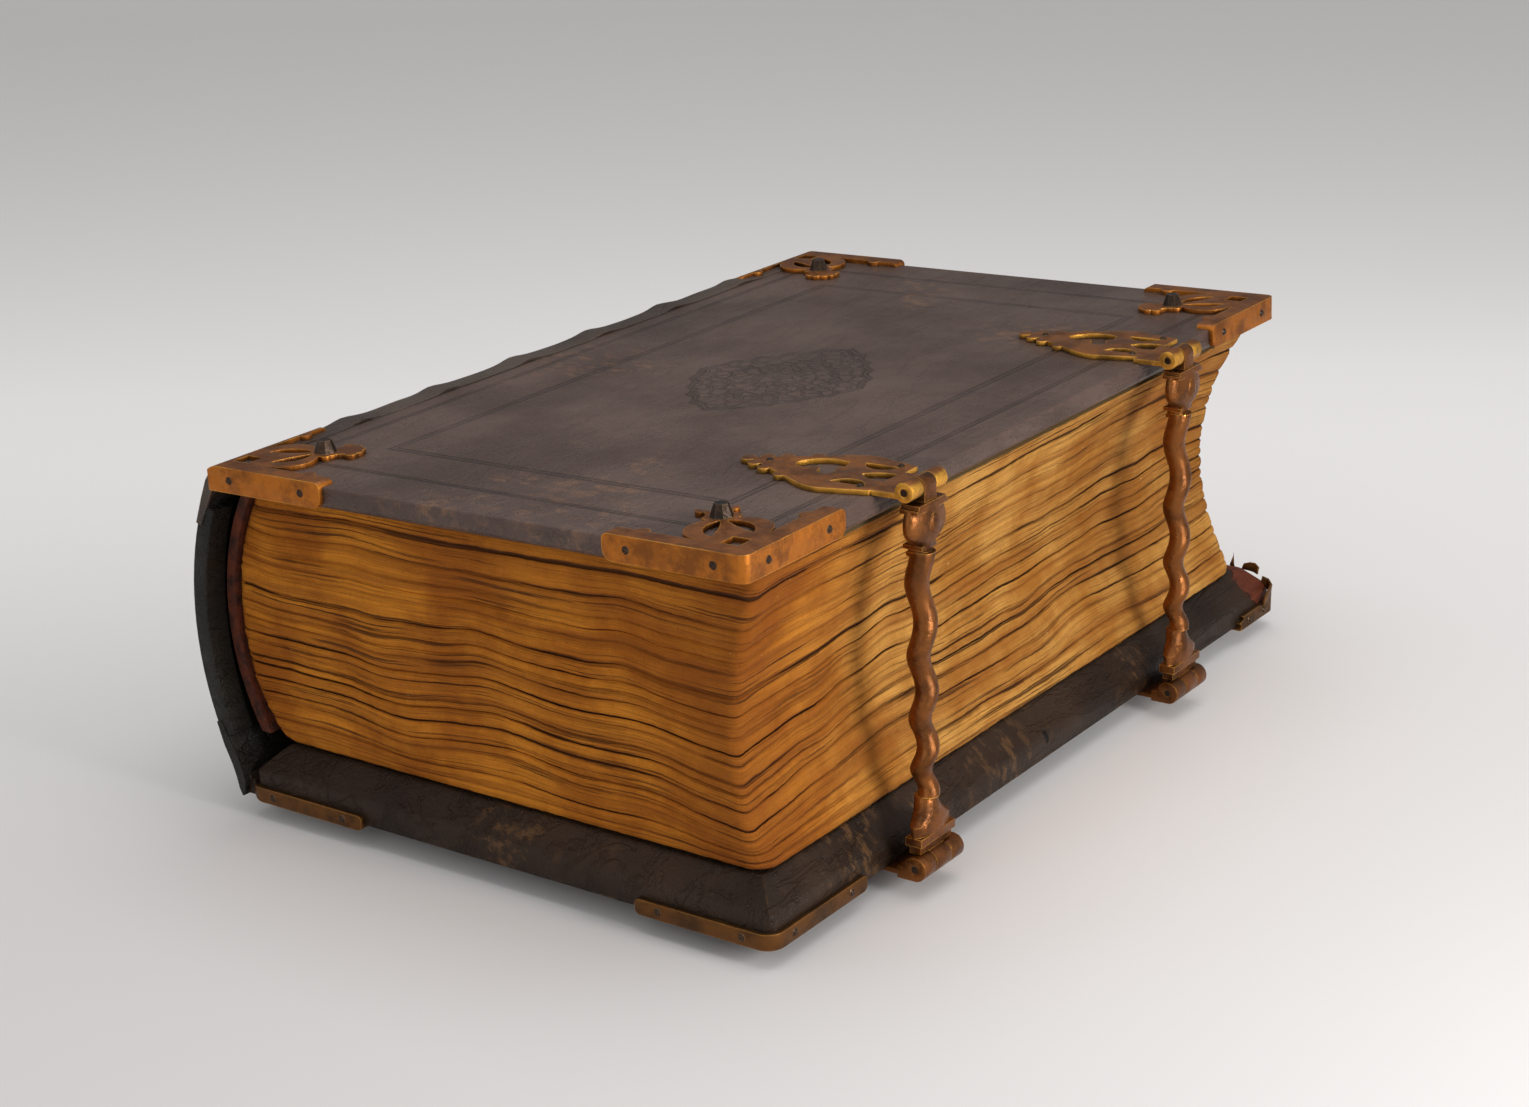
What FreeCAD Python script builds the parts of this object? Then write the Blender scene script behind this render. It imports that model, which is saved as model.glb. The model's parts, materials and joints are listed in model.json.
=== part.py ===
import FreeCAD, Part
import math
import os
import Sketcher
from FreeCAD import Placement, Rotation, Vector

# A folio book lying on its back cover. While it is built, x runs from the spine edge to the fore
# edge, y from the tail to the head and z up, with z = 0 at the underside of the back corner brass.
# A cover is built flat in its own frame: a from its spine edge, b along it, c outwards from the
# leather of its outer face, so everything inside the cover has a negative c.
#
# Driving dimensions, in millimetres and degrees
DIMENSIONS = {
    "cover_length": 426,            # board with its leather, tail to head
    "cover_width": 264,             # spine edge to fore edge
    "back_board_thick": 18,
    "front_board_thick": 9,
    "leather_thick": 1.5,
    "back_edge_flat": 9,            # upright outer part of the edge, before the inner bevel
    "front_edge_flat": 8.5,
    "bevel_width": 12,              # how far the bevel round the inner face reaches in
    "back_corner_round": 5,
    "front_corner_round": 1.5,
    "back_bevel_round": 7,          # the back board swells like a cushion to its edge
    "front_bevel_round": 3,
    "spine_edge_round": 6,
    "turn_in": 24,                  # leather folded over on to the inner face
    "pastedown_thick": 0.6,
    "front_shift_out": -4,          # the front cover has slipped towards the spine
    "front_shift_up": -5,           # and towards the tail
    "block_tail_square": 9.8,       # board seen beyond the leaves at the tail
    "block_head_square": 18.2,
    "block_fore_square": 8,
    "block_spine_inset": 4,
    "block_spine_height": 111,
    "block_fore_height": 118.8,
    "block_spine_bulge": 15.5,      # how far the rounded back stands out
    "block_tail_hollow": 12,        # depth of the hollow fore edge at the tail
    "block_head_hollow": 20,
    "leaf_gap": 0.2,                # clearance between the leaves and a cover
    "spine_radius": 138.5,          # outer face of the spine leather
    "spine_centre_out": 114.5,
    "spine_centre_up": 77,
    "spine_leather_thick": 4,
    "spine_top_angle": 26.8,
    "spine_low_angle": 26.4,
    "cap_thick": 3.4,               # leather folded back inside at tail and head
    "cap_length": 11.5,
    "cap_angle": 22,
    "band_count": 6,
    "band_pitch": 56,
    "band_first": 76,
    "band_half_width": 8,
    "band_height": 4.5,
    "band_angle": 20,
    "lining_thick": 4.8,
    "lining_low_rise": 3,
    "cord_radius": 1.5,
    "cord_angle": 19,
    "spine_fit": 0.2,               # clearance between lining, cords and leather
    "joint_up": 14,                 # height of the lower joint above the back brass
    "joint_out": -9,
    "flap_low": 1.4,
    "flap_low_out": -5.4,
    "brass_thick": 2.2,
    "front_strip_height": 8.5,
    "back_strip_height": 4.4,
    "strip_reach": 62,
    "strip_margin": 6,
    "strip_low_round": 0.5,         # as a share of the strip's height
    "strip_top_round": 2.5,
    "strip_scallop": 3,
    "plate_square": 26,
    "plate_lobe": 12.5,
    "plate_lobe_near": 19,
    "plate_lobe_far": 25,
    "plate_bud": 2.3,
    "spine_plate_start": 0.5,       # the spine corners start this far from the spine edge
    "boss_inset": 33,
    "boss_seat": 6.5,
    "front_boss_radius": 4.7,
    "front_boss_height": 5.2,
    "back_boss_radius": 6.2,
    "back_boss_height": 8,          # the back bosses are the feet
    "boss_taper": 18,
    "boss_sides": 8,
    "finial_inset": 38,
    "finial_radius": 5.5,
    "finial_leaf": 2.5,
    "finial_reach": 6.6,
    "square_hole": 8,
    "square_hole_inset": 7,
    "nail_radius": 1.7,
    "nail_height": 0.9,
    "nail_first": 12,
    "nail_second": 51,
    "torn_reach": 36,               # what is left of one back strip that has torn
    "torn_nail": 27,
    "tail_clasp_place": 94,
    "head_clasp_place": 307,
    "catch_length": 68.5,
    "catch_radius": 22.5,
    "tail_catch_aside": 4,          # the leaf stands this far aside of its bar, to the head
    "head_catch_aside": 9,
    "catch_bulge_place": 22,        # centre of the round part, in from the fore edge
    "catch_root": 17.5,
    "catch_lobe": 2.8,
    "neck_half_width": 12.5,
    "bar_out": 13.5,                # axis of the catch bar beyond the fore edge
    "bar_lift": 2.8,                # and above the leather of the outer face
    "knuckle_radius": 4,
    "bar_radius": 1.5,
    "hinge_out": 14,                # axis of the clasp hinge beyond the fore edge
    "hinge_drop": 2.8,              # and inwards from the outer face
    "hinge_radius": 5,
    "hinge_pin_radius": 1.6,
    "hinge_half_length": 14.5,
    "hinge_plate_length": 46,
    "hinge_plate_half_width": 12,
    "knuckle_gap": 0.4,             # end play between knuckles
    "arm_knuckle_half": 5.5,
    "hook_half_width": 4.2,
    "pin_fit": 0.06,                # radial clearance of a pin in its running knuckle
    "hook_fit": 0.3,                # radial clearance of the hook on its bar
    "hook_wall": 2.3,
    "stem_radius": 4.9,
    "stem_thin": 0.6,               # how much thinner the stem is at its foot
    "stem_swing": 1.5,              # how far the barley twist leaves its axis
    "stem_turns": 4,
    "stem_slack": 0.7,              # how much the pitch grows towards the top
    "stem_steps": 6,                # sections of the twist in one turn
    "foot_half_width": 12.5,
    "foot_depth": 5,
    "foot_height": 14,
    "foot_set_in": 1.6,             # the foot stands this far inside of the hinge axis
    "stem_set_in": 3.3,             # and the stem's lower end this far
    "stem_set_in_top": 1.3,
    "shield_set_out": 2.2,
    "mould_height": 3.4,
    "mould_step": 1.2,
    "ring_height": 1.7,
    "shield_half_width": 13,
    "shield_height": 15,
    "shield_depth": 9.6,
    "shield_oval": 4.5,
    "rivet_radius": 1.6,
    "rivet_height": 1,
    "loss_height": 60,              # reach of the cut that stands for a broken-off piece
}

doc = FreeCAD.newDocument("leather_book")
sheet = doc.addObject("Spreadsheet::Sheet", "Sizes")
for row, (name, number) in enumerate(DIMENSIONS.items(), start=1):
    sheet.set(f"A{row}", name)
    sheet.set(f"B{row}", str(number))
    sheet.setAlias(f"B{row}", name)
doc.recompute()


def size(name):
    """The value of one driving dimension."""
    return float(getattr(sheet, name))


def bind(item, **rules):
    """Tie properties of an object to formulas of the driving dimensions."""
    for path, formula in rules.items():
        item.setExpression(path.replace("__", "."), worded(formula))


def worded(formula):
    """A formula in which each dimension's name gets its sheet."""
    out = []
    word = ""
    for letter in str(formula) + " ":
        if letter.isalnum() or letter == "_":
            word += letter
            continue
        out.append("Sizes." + word if word in DIMENSIONS else word)
        out.append(letter)
        word = ""
    return "".join(out).strip()


def body(label):
    made = doc.addObject("PartDesign::Body", "Body")
    made.Label = label
    return made


def plane(owner, role):
    """One of a body's own origin planes, such as XY_Plane."""
    return next(item for item in owner.Origin.OriginFeatures if item.Role == role)


def sketch_on(owner, role, **offset):
    """A sketch on one of the body's planes, moved by formulas for x, y and z."""
    made = owner.newObject("Sketcher::SketchObject", "Sketch")
    made.AttachmentSupport = [(plane(owner, role), "")]
    made.MapMode = "FlatFace"
    for axis, formula in offset.items():
        bind(made, **{f"AttachmentOffset__Base__{axis}": formula})
    return made


def add_box(sketch, width, height):
    """A rectangle from the sketch's origin, its sides tied to two formulas."""
    corners = [Vector(0, 0, 0), Vector(10, 0, 0), Vector(10, 10, 0), Vector(0, 10, 0)]
    for i in range(4):
        sketch.addGeometry(Part.LineSegment(corners[i], corners[(i + 1) % 4]), False)
    for i in range(4):
        sketch.addConstraint(Sketcher.Constraint("Coincident", i, 2, (i + 1) % 4, 1))
    for i, kind in enumerate(("Horizontal", "Vertical", "Horizontal", "Vertical")):
        sketch.addConstraint(Sketcher.Constraint(kind, i))
    sketch.addConstraint(Sketcher.Constraint("Coincident", 0, 1, -1, 1))
    for kind, edge, formula in (("DistanceX", 0, width), ("DistanceY", 1, height)):
        index = sketch.addConstraint(Sketcher.Constraint(kind, edge, 1, edge, 2, 10.0))
        sketch.setExpression(f"Constraints[{index}]", worded(formula))


def add_circle(sketch, x, y, radius):
    """A circle whose centre and radius are tied to formulas, x and y being positive."""
    index = sketch.addGeometry(Part.Circle(Vector(5, 5, 0), Vector(0, 0, 1), 5), False)
    for kind, formula in (("DistanceX", x), ("DistanceY", y)):
        made = sketch.addConstraint(Sketcher.Constraint(kind, -1, 1, index, 3, 5.0))
        sketch.setExpression(f"Constraints[{made}]", worded(formula))
    made = sketch.addConstraint(Sketcher.Constraint("Radius", index, 5.0))
    sketch.setExpression(f"Constraints[{made}]", worded(radius))


def add_outline(sketch, points):
    """A closed outline of lines, with an arc wherever a point is (through, end)."""
    first = points[0]
    last = first
    for item in points[1:] + [first]:
        if isinstance(item[0], tuple):
            through, end = item
            arc = Part.Arc(Vector(*last, 0), Vector(*through, 0), Vector(*end, 0))
            sketch.addGeometry(arc, False)
            last = end
        elif math.dist(last, item) > 1e-6:
            sketch.addGeometry(Part.LineSegment(Vector(*last, 0), Vector(*item, 0)), False)
            last = item


def rounded(corners):
    """An outline through corners given as (x, y, radius), with an arc where the radius isn't 0."""
    out = []
    for index, (x, y, radius) in enumerate(corners):
        if not radius:
            out.append((x, y))
            continue
        before = corners[index - 1]
        after = corners[(index + 1) % len(corners)]
        back = unit(before[0] - x, before[1] - y)
        forth = unit(after[0] - x, after[1] - y)
        half = math.acos(back[0] * forth[0] + back[1] * forth[1]) / 2
        cut = radius / math.tan(half)
        middle = unit(back[0] + forth[0], back[1] + forth[1])
        deep = radius / math.sin(half) - radius
        out.append((x + back[0] * cut, y + back[1] * cut))
        through = (x + middle[0] * deep, y + middle[1] * deep)
        out.append((through, (x + forth[0] * cut, y + forth[1] * cut)))
    return out


def unit(x, y):
    long = math.hypot(x, y)
    return x / long, y / long


def pad(owner, sketch, length, reversed_way=False):
    made = owner.newObject("PartDesign::Pad", "Pad")
    made.Profile = sketch
    made.Reversed = reversed_way
    bind(made, Length=length)
    return made


def pocket(owner, sketch, length, reversed_way=False):
    made = owner.newObject("PartDesign::Pocket", "Pocket")
    made.Profile = sketch
    made.Reversed = reversed_way
    bind(made, Length=length)
    return made


def boolean(kind, label, base, tool):
    made = doc.addObject("Part::" + kind, kind)
    made.Label = label
    made.Base = base
    made.Tool = tool
    return made


def together(label, items):
    made = doc.addObject("Part::Compound", "Group")
    made.Label = label
    made.Links = items
    return made


def joined(label, items):
    made = doc.addObject("Part::MultiFuse", "Joined")
    made.Label = label
    made.Shapes = items
    return made


def common(label, items):
    made = doc.addObject("Part::MultiCommon", "Common")
    made.Label = label
    made.Shapes = items
    return made


def mirrored(label, source, normal, middle):
    """A mirror image across the plane halfway along the cover's width or length."""
    made = doc.addObject("Part::Mirroring", "Mirror")
    made.Label = label
    made.Source = source
    made.Normal = normal
    axis = "x" if normal.x else "y"
    bind(made, **{f"Base__{axis}": middle})
    return made


def primitive(kind, sizes, place=None, turn=None):
    """A Part primitive with its sizes and its place tied to formulas."""
    made = doc.addObject("Part::" + kind, kind)
    if turn:
        made.Placement = Placement(Vector(), turn)
    bind(made, **sizes)
    for axis, formula in zip("xyz", place or ()):
        bind(made, **{f"Placement__Base__{axis}": formula})
    return made


ACROSS = Vector(1, 0, 0)
ALONG = Vector(0, 1, 0)
FACE_OUT = Rotation()
LIE_ALONG = Rotation(ACROSS, -90)       # turns a cylinder's axis from z to y
FACE_TAIL = Rotation(ACROSS, 90)        # turns z to -y
FACE_FORE = Rotation(ALONG, 90)         # turns z to x

BACK_THICK = size("back_board_thick") + 2 * size("leather_thick")
FRONT_THICK = size("front_board_thick") + 2 * size("leather_thick")
BACK_INNER = f"(brass_thick + {BACK_THICK})"
BLOCK_WIDTH = size("cover_width") - size("block_spine_inset") - size("block_fore_square")
BLOCK_TAIL = size("brass_thick") + size("block_tail_square")
BLOCK_HEAD = size("brass_thick") + size("cover_length") - size("block_head_square")


# Boards and their leather
#
# A cover's block has upright edges on the outside, then a bevel in to its inner face. It is what
# its two cross-sections and its plan have in common. The same form, made smaller by the leather,
# is the wooden board.
def cover_block(label, inset, side, thick):
    width = size("cover_width")
    length = size("cover_length")
    first_round = size("spine_edge_round") - inset
    long_form = body(f"{label} cross-section")
    section = sketch_on(long_form, "XZ_Plane", z="-cover_length")
    add_outline(section, rounded(bevelled(width, inset, side, thick, first_round)))
    pad(long_form, section, "cover_length")
    wide_form = body(f"{label} long section")
    section = sketch_on(wide_form, "YZ_Plane")
    add_outline(section, rounded(bevelled(length, inset, side, thick, 0)))
    pad(wide_form, section, "cover_width")
    plan = plan_form(f"{label} plan", inset, 0, thick, size(f"{side}_corner_round"))
    return common(label, [long_form, wide_form, plan])


def bevelled(width, inset, side, thick, first_round):
    """Corners and roundings of a cover's section across one of its two directions."""
    edge_flat = size(f"{side}_edge_flat")
    deep = thick - inset
    far = inset + size("bevel_width")
    turn = size(f"{side}_bevel_round") - inset / 2
    return [
        (inset, -inset, first_round),
        (inset, -edge_flat, turn),
        (far, -deep, turn),
        (width - far, -deep, turn),
        (width - inset, -edge_flat, turn),
        (width - inset, -inset, 0),
    ]


def plan_form(label, inset, top, low, corner_round):
    """The plan of a cover with its rounded corners, between two heights."""
    made = body(label)
    turn = max(corner_round - inset, 0)
    far_x = size("cover_width") - inset
    far_y = size("cover_length") - inset
    plan = sketch_on(made, "XY_Plane", z=f"{top}")
    add_outline(plan, rounded([
        (inset, inset, turn),
        (far_x, inset, turn),
        (far_x, far_y, turn),
        (inset, far_y, turn),
    ]))
    pad(made, plan, f"{top} + {low}", True)
    return made


def bound_cover(side, thick, flap=None):
    """A board, the leather round it and the paper inside it."""
    board = cover_block(f"{side} board form", size("leather_thick"), side, thick)
    outside = cover_block(f"{side} cover form", 0, side, thick)
    window = primitive(
        "Box",
        {
            "Length": "cover_width - 2 * turn_in",
            "Width": "cover_length - 2 * turn_in",
            "Height": "leather_thick",
        },
        ("turn_in", "turn_in", f"-{thick}"),
    )
    wrapped = joined(f"{side} wrapped form", [outside, flap]) if flap else outside
    core = joined(f"{side} core", [board, window])
    leather = boolean("Cut", f"{side} leather form", wrapped, core)
    paper = primitive(
        "Box",
        {
            "Length": "cover_width - 2 * (turn_in + leaf_gap)",
            "Width": "cover_length - 2 * (turn_in + leaf_gap)",
            "Height": "pastedown_thick",
        },
        ("turn_in + leaf_gap", "turn_in + leaf_gap", f"leather_thick - pastedown_thick - {thick}"),
    )
    nodes = [
        together(f"{side}_board", [board]),
        together(f"{side}_leather", [leather]),
        together(f"{side}_pastedown", [paper]),
    ]
    return nodes, outside


# Corner pieces
#
# Each casting is a skin of brass on the cover, kept where its outline stands over it: a square
# plate with scalloped lobes, an arm along each edge, a seat for the boss and a finial past it.
def brass_skin(side, outside):
    """The brass that lies on the outer face and down the upright edges of a cover."""
    thick = size("brass_thick")
    high = size(f"{side}_strip_height")
    far = size("cover_width") + thick
    across = body(f"{side} clad section")
    section = sketch_on(across, "XZ_Plane", z="-(cover_length + brass_thick)")
    add_outline(section, rounded([
        (-thick, thick, size("spine_edge_round") + thick),
        (-thick, -high, 0),
        (far, -high, 0),
        (far, thick, 0),
    ]))
    pad(across, section, "cover_length + 2 * brass_thick")
    turn = size(f"{side}_corner_round")
    plan = plan_form(f"{side} clad plan", -thick, thick, high, turn)
    return boolean("Cut", f"{side} skin", common(f"{side} clad form", [across, plan]), outside)


def plate_form(label, side, start):
    """The corner outline as a solid that stands from the strips' foot to above the brass."""
    made = body(label)
    high = size(f"{side}_strip_height")
    depth = f"{high} + brass_thick + 1"
    low = f"-{high}"
    arms(made, high, start)
    middle = sketch_on(made, "XY_Plane", x=f"{start}", y=f"{start}", z=low)
    add_box(middle, f"plate_square - {start}", f"plate_square - {start}")
    pad(made, middle, depth)
    scallop = ("strip_reach - 13", "strip_margin", "strip_scallop")
    lobe = ("plate_lobe_far", "plate_lobe_near", "plate_lobe")
    bud = ("boss_inset + 3.5", "boss_inset - 4", "plate_bud")
    circles = [("boss_inset", "boss_inset", "boss_seat"), ("finial_inset", "finial_inset", "finial_radius")]
    for x, y, radius in (scallop, lobe, bud):
        circles += [(x, y, radius), (y, x, radius)]
    for turn in (-66, -33, 0, 33, 66):
        angle = math.radians(45 + turn)
        circles.append((
            f"finial_inset + {math.cos(angle):.4f} * finial_reach",
            f"finial_inset + {math.sin(angle):.4f} * finial_reach",
            "finial_leaf",
        ))
    for x, y, radius in circles:
        disc = sketch_on(made, "XY_Plane", z=low)
        add_circle(disc, x, y, radius)
        pad(made, disc, depth)
    hole = sketch_on(made, "XY_Plane", x="square_hole_inset", y="square_hole_inset", z=low)
    add_box(hole, "square_hole", "square_hole")
    pocket(made, hole, depth, True)
    for swap in (False, True):
        horn = [(11.5, 22.5), ((20.2, 31.4), (28.4, 30.4)), ((21.2, 25.8), (11.5, 22.5))]
        slot = sketch_on(made, "XY_Plane", z=low)
        add_outline(slot, [swapped(item, swap) for item in horn])
        pocket(made, slot, depth, True)
    return made


def arms(made, high, start):
    """The two arms along the edges, with the ends of their strips rounded like tongues."""
    reach = size("strip_reach")
    out = 2 * size("brass_thick")
    side = [
        (-out, -high, 0),
        (reach, -high, size("strip_low_round") * high),
        (reach, size("brass_thick"), size("strip_top_round")),
        (-out, size("brass_thick"), 0),
    ]
    width = size("strip_margin") + out
    tail_side = [(max(x, start), z, turn) for x, z, turn in side]
    section = sketch_on(made, "XZ_Plane", z="-strip_margin")
    add_outline(section, rounded(tail_side))
    pad(made, section, f"{width}")
    section = sketch_on(made, "YZ_Plane", z=f"{start}")
    add_outline(section, rounded(side))
    pad(made, section, f"strip_margin - ({start})")


def swapped(item, swap):
    """A point, or an arc's two points, with its two coordinates exchanged."""
    if not swap:
        return item
    if isinstance(item[0], tuple):
        return tuple(point[::-1] for point in item)
    return item[::-1]


def corner_pieces(side, outside, ends, corner, broken_off):
    """The four castings of one cover. One corner's casting is broken."""
    skin = brass_skin(side, outside)
    at_spine_form = plate_form(f"{side} form s", side, size("spine_plate_start"))
    at_spine = boolean("Common", f"{side} spine casting", skin, at_spine_form)
    at_fore_form = plate_form(f"{side} form f", side, -2 * size("brass_thick"))
    fore_skin = mirrored(f"{side} fore skin", skin, ACROSS, "cover_width / 2")
    at_fore = boolean("Common", f"{side} fore casting", fore_skin, at_fore_form)
    made = []
    for end in ends:
        for edge, casting in (("spine", at_spine), ("fore", at_fore)):
            name = f"{side}_corner_{end}_{edge}"
            piece = casting
            if (end, edge) == corner:
                piece = boolean("Cut", f"{name} whole", piece, broken_off())
            if edge == "fore":
                piece = mirrored(f"{name} across", piece, ACROSS, "cover_width / 2")
            if end == ends[1]:
                piece = mirrored(f"{name} along", piece, ALONG, "cover_length / 2")
            made.append(together(name, [piece]))
    return made


def lost_finial():
    """Everything past the boss, where a casting has snapped."""
    return primitive(
        "Box",
        {"Length": "loss_height", "Width": "loss_height", "Height": "loss_height"},
        ("boss_inset + boss_seat / 2", "boss_inset + boss_seat / 2", "-loss_height / 2"),
    )


def torn_strip():
    """The end of an arm along the fore edge, torn off in a ragged line."""
    made = body("torn strip")
    reach = size("torn_reach")
    high = size("back_strip_height")
    top = 2 * size("brass_thick")
    ragged = [(reach + 2, top), (reach - 1, 0), (reach + 1.4, -0.4 * high), (reach - 3, -0.6 * high)]
    line = sketch_on(made, "YZ_Plane", z="-2 * brass_thick")
    add_outline(line, ragged + [(reach, -2 * high), (2 * reach, -2 * high), (2 * reach, top)])
    pad(made, line, "2 * brass_thick + strip_margin + strip_scallop + 0.4")
    return made


def bosses(side):
    """The faceted studs, one on each corner piece."""
    label = f"{side}_bosses"
    made = body(label + " stud")
    base = sketch_on(made, "XY_Plane", x="boss_inset", y="boss_inset", z="brass_thick")
    sides = int(size("boss_sides"))
    radius = size(f"{side}_boss_radius")
    ring = [
        (radius * math.cos(2 * math.pi * i / sides), radius * math.sin(2 * math.pi * i / sides))
        for i in range(sides)
    ]
    add_outline(base, ring)
    stud = pad(made, base, f"{side}_boss_height")
    bind(stud, TaperAngle="-boss_taper")
    return together(label, four_ways(label, made))


def four_ways(label, item):
    """An item and its images at the other three corners of the cover."""
    across = mirrored(label + " across", item, ACROSS, "cover_width / 2")
    pair = together(label + " pair", [item, across])
    along = mirrored(label + " along", pair, ALONG, "cover_length / 2")
    return [item, across, along]


def nails(side, last):
    """Nail heads on the strips, two on each arm but those along the spine edge."""
    label = f"{side}_corner_nails"
    heads = []
    middle = f"(brass_thick - {side}_strip_height) / 2"
    for place in ("nail_first", "nail_second"):
        heads.append(nail_head(("spine_plate_start + " + place, "-brass_thick", middle), FACE_TAIL))
        heads.append(nail_head(("cover_width - " + place, "-brass_thick", middle), FACE_TAIL))
    near = together(label + " near", heads)
    far = mirrored(label + " far", near, ALONG, "cover_length / 2")
    fore = []
    for place in ("nail_first", last, "cover_length - nail_first", "cover_length - nail_second"):
        fore.append(nail_head(("cover_width + brass_thick", place, middle), FACE_FORE))
    return together(label, [near, far] + fore)


def nail_head(place, turn):
    sizes = {"Radius1": "nail_radius", "Radius2": "nail_radius / 2", "Height": "nail_height"}
    return primitive("Cone", sizes, place, turn)


# Catch plates
#
# A pierced leaf of brass whose root narrows to a neck and curls into two knuckles round the bar.
def catch_plate(label, place, aside):
    bulge = size("cover_width") - size("catch_bulge_place")
    radius = size("catch_radius")
    tip = size("cover_width") - size("catch_length")
    root = size("cover_width") - 1.5
    reach = bulge - tip
    touch_x = bulge - radius * radius / reach
    touch_y = radius * math.sqrt(1 - (radius / reach) ** 2)
    lean = math.asin(radius / reach) / 2
    side_x = bulge - radius * math.sin(lean)
    side_y = radius * math.cos(lean)
    end = size("catch_root")
    made = body(label)
    aside = f"{place} + {aside}"
    leaf = sketch_on(made, "XY_Plane", y=aside)
    add_outline(leaf, [
        (tip, 0),
        (touch_x, -touch_y),
        ((side_x, -side_y), (bulge, -radius)),
        (root, -end),
        (root, end),
        (bulge, radius),
        ((side_x, side_y), (touch_x, touch_y)),
    ])
    pad(made, leaf, "brass_thick")
    lobes = [(0, 0, 1.15)]
    for x, y in ((6, 4.6), (13, 8.2), (24, 13.2)):
        lobes += [(x, y, 1), (x, -y, 1)]
    for x, y, growth in lobes:
        lobe = sketch_on(made, "XY_Plane", y=aside)
        middle = Vector(tip + x, y, 0)
        lobe.addGeometry(Part.Circle(middle, Vector(0, 0, 1), growth * size("catch_lobe")), False)
        pad(made, lobe, "brass_thick")
    neck = sketch_on(made, "XY_Plane", x="cover_width - 3", y=f"{place} - neck_half_width")
    add_box(neck, "bar_out + 3", "2 * neck_half_width")
    pad(made, neck, "brass_thick")
    curl = sketch_on(made, "XZ_Plane", z=f"-({place} + neck_half_width)")
    add_circle(curl, "cover_width + bar_out", "bar_lift", "knuckle_radius")
    pad(made, curl, "2 * neck_half_width")
    for outline in catch_openings(tip, bulge):
        cut = sketch_on(made, "XY_Plane", y=aside)
        add_outline(cut, outline)
        pocket(made, cut, "brass_thick", True)
    gap = sketch_on(made, "XY_Plane", x="cover_width + bar_out - knuckle_radius - knuckle_gap",
                    y=f"{place} - hook_half_width - knuckle_gap", z="2 * knuckle_radius")
    add_box(gap, "3 * knuckle_radius", "2 * (hook_half_width + knuckle_gap)")
    pocket(made, gap, "4 * knuckle_radius")
    bore = sketch_on(made, "XZ_Plane", z=f"-({place} + neck_half_width)")
    add_circle(bore, "cover_width + bar_out", "bar_lift", "bar_radius")
    pocket(made, bore, "2 * neck_half_width", True)
    return made


def catch_openings(tip, bulge):
    """The pierced openings of a catch plate: a leaf with a curled tongue, two commas, a wedge."""
    leaf = [
        (tip + 21, 3.5),
        ((tip + 30, 11.6), (bulge - 6, 10.5)),
        (bulge - 5.2, 5.5),
        ((bulge - 7, 2.6), (bulge - 5, -0.5)),
        (bulge - 5.6, -5.5),
        ((bulge - 9.6, -5.6), (bulge - 12.4, -1)),
        (bulge - 14.6, 1.8),
        ((tip + 27.5, -1.6), (tip + 21, 3.5)),
    ]
    openings = [leaf, [
        (bulge + 6.5, 0),
        ((bulge + 12, 4), (bulge + 19.5, 4.8)),
        (bulge + 19.5, -4.8),
        ((bulge + 12, -4), (bulge + 6.5, 0)),
    ]]
    for way in (1, -1):
        openings.append([
            (bulge, 13 * way),
            ((bulge + 7, 7.4 * way), (bulge + 15.5, 12.8 * way)),
            ((bulge + 8, 13.2 * way), (bulge, 13 * way)),
        ])
    return openings


def bar(label, place):
    """The bar held in the knuckles of a catch plate."""
    made = primitive(
        "Cylinder",
        {"Radius": "bar_radius", "Height": "2 * neck_half_width"},
        ("cover_width + bar_out", f"{place} - neck_half_width", "bar_lift"),
        LIE_ALONG,
    )
    return together(label, [made])


def catch_rivets(label, places):
    heads = []
    for place, aside in places:
        for x, y in (("catch_length - 10", "0"), ("7", "14.5"), ("7", "-14.5")):
            heads.append(rivet_head((f"cover_width - ({x})", f"{place} + {aside} + {y}", "brass_thick")))
    return together(label, heads)


def rivet_head(place):
    sizes = {"Radius1": "rivet_radius", "Radius2": "rivet_radius / 2", "Height": "rivet_height"}
    return primitive("Cone", sizes, place)


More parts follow.
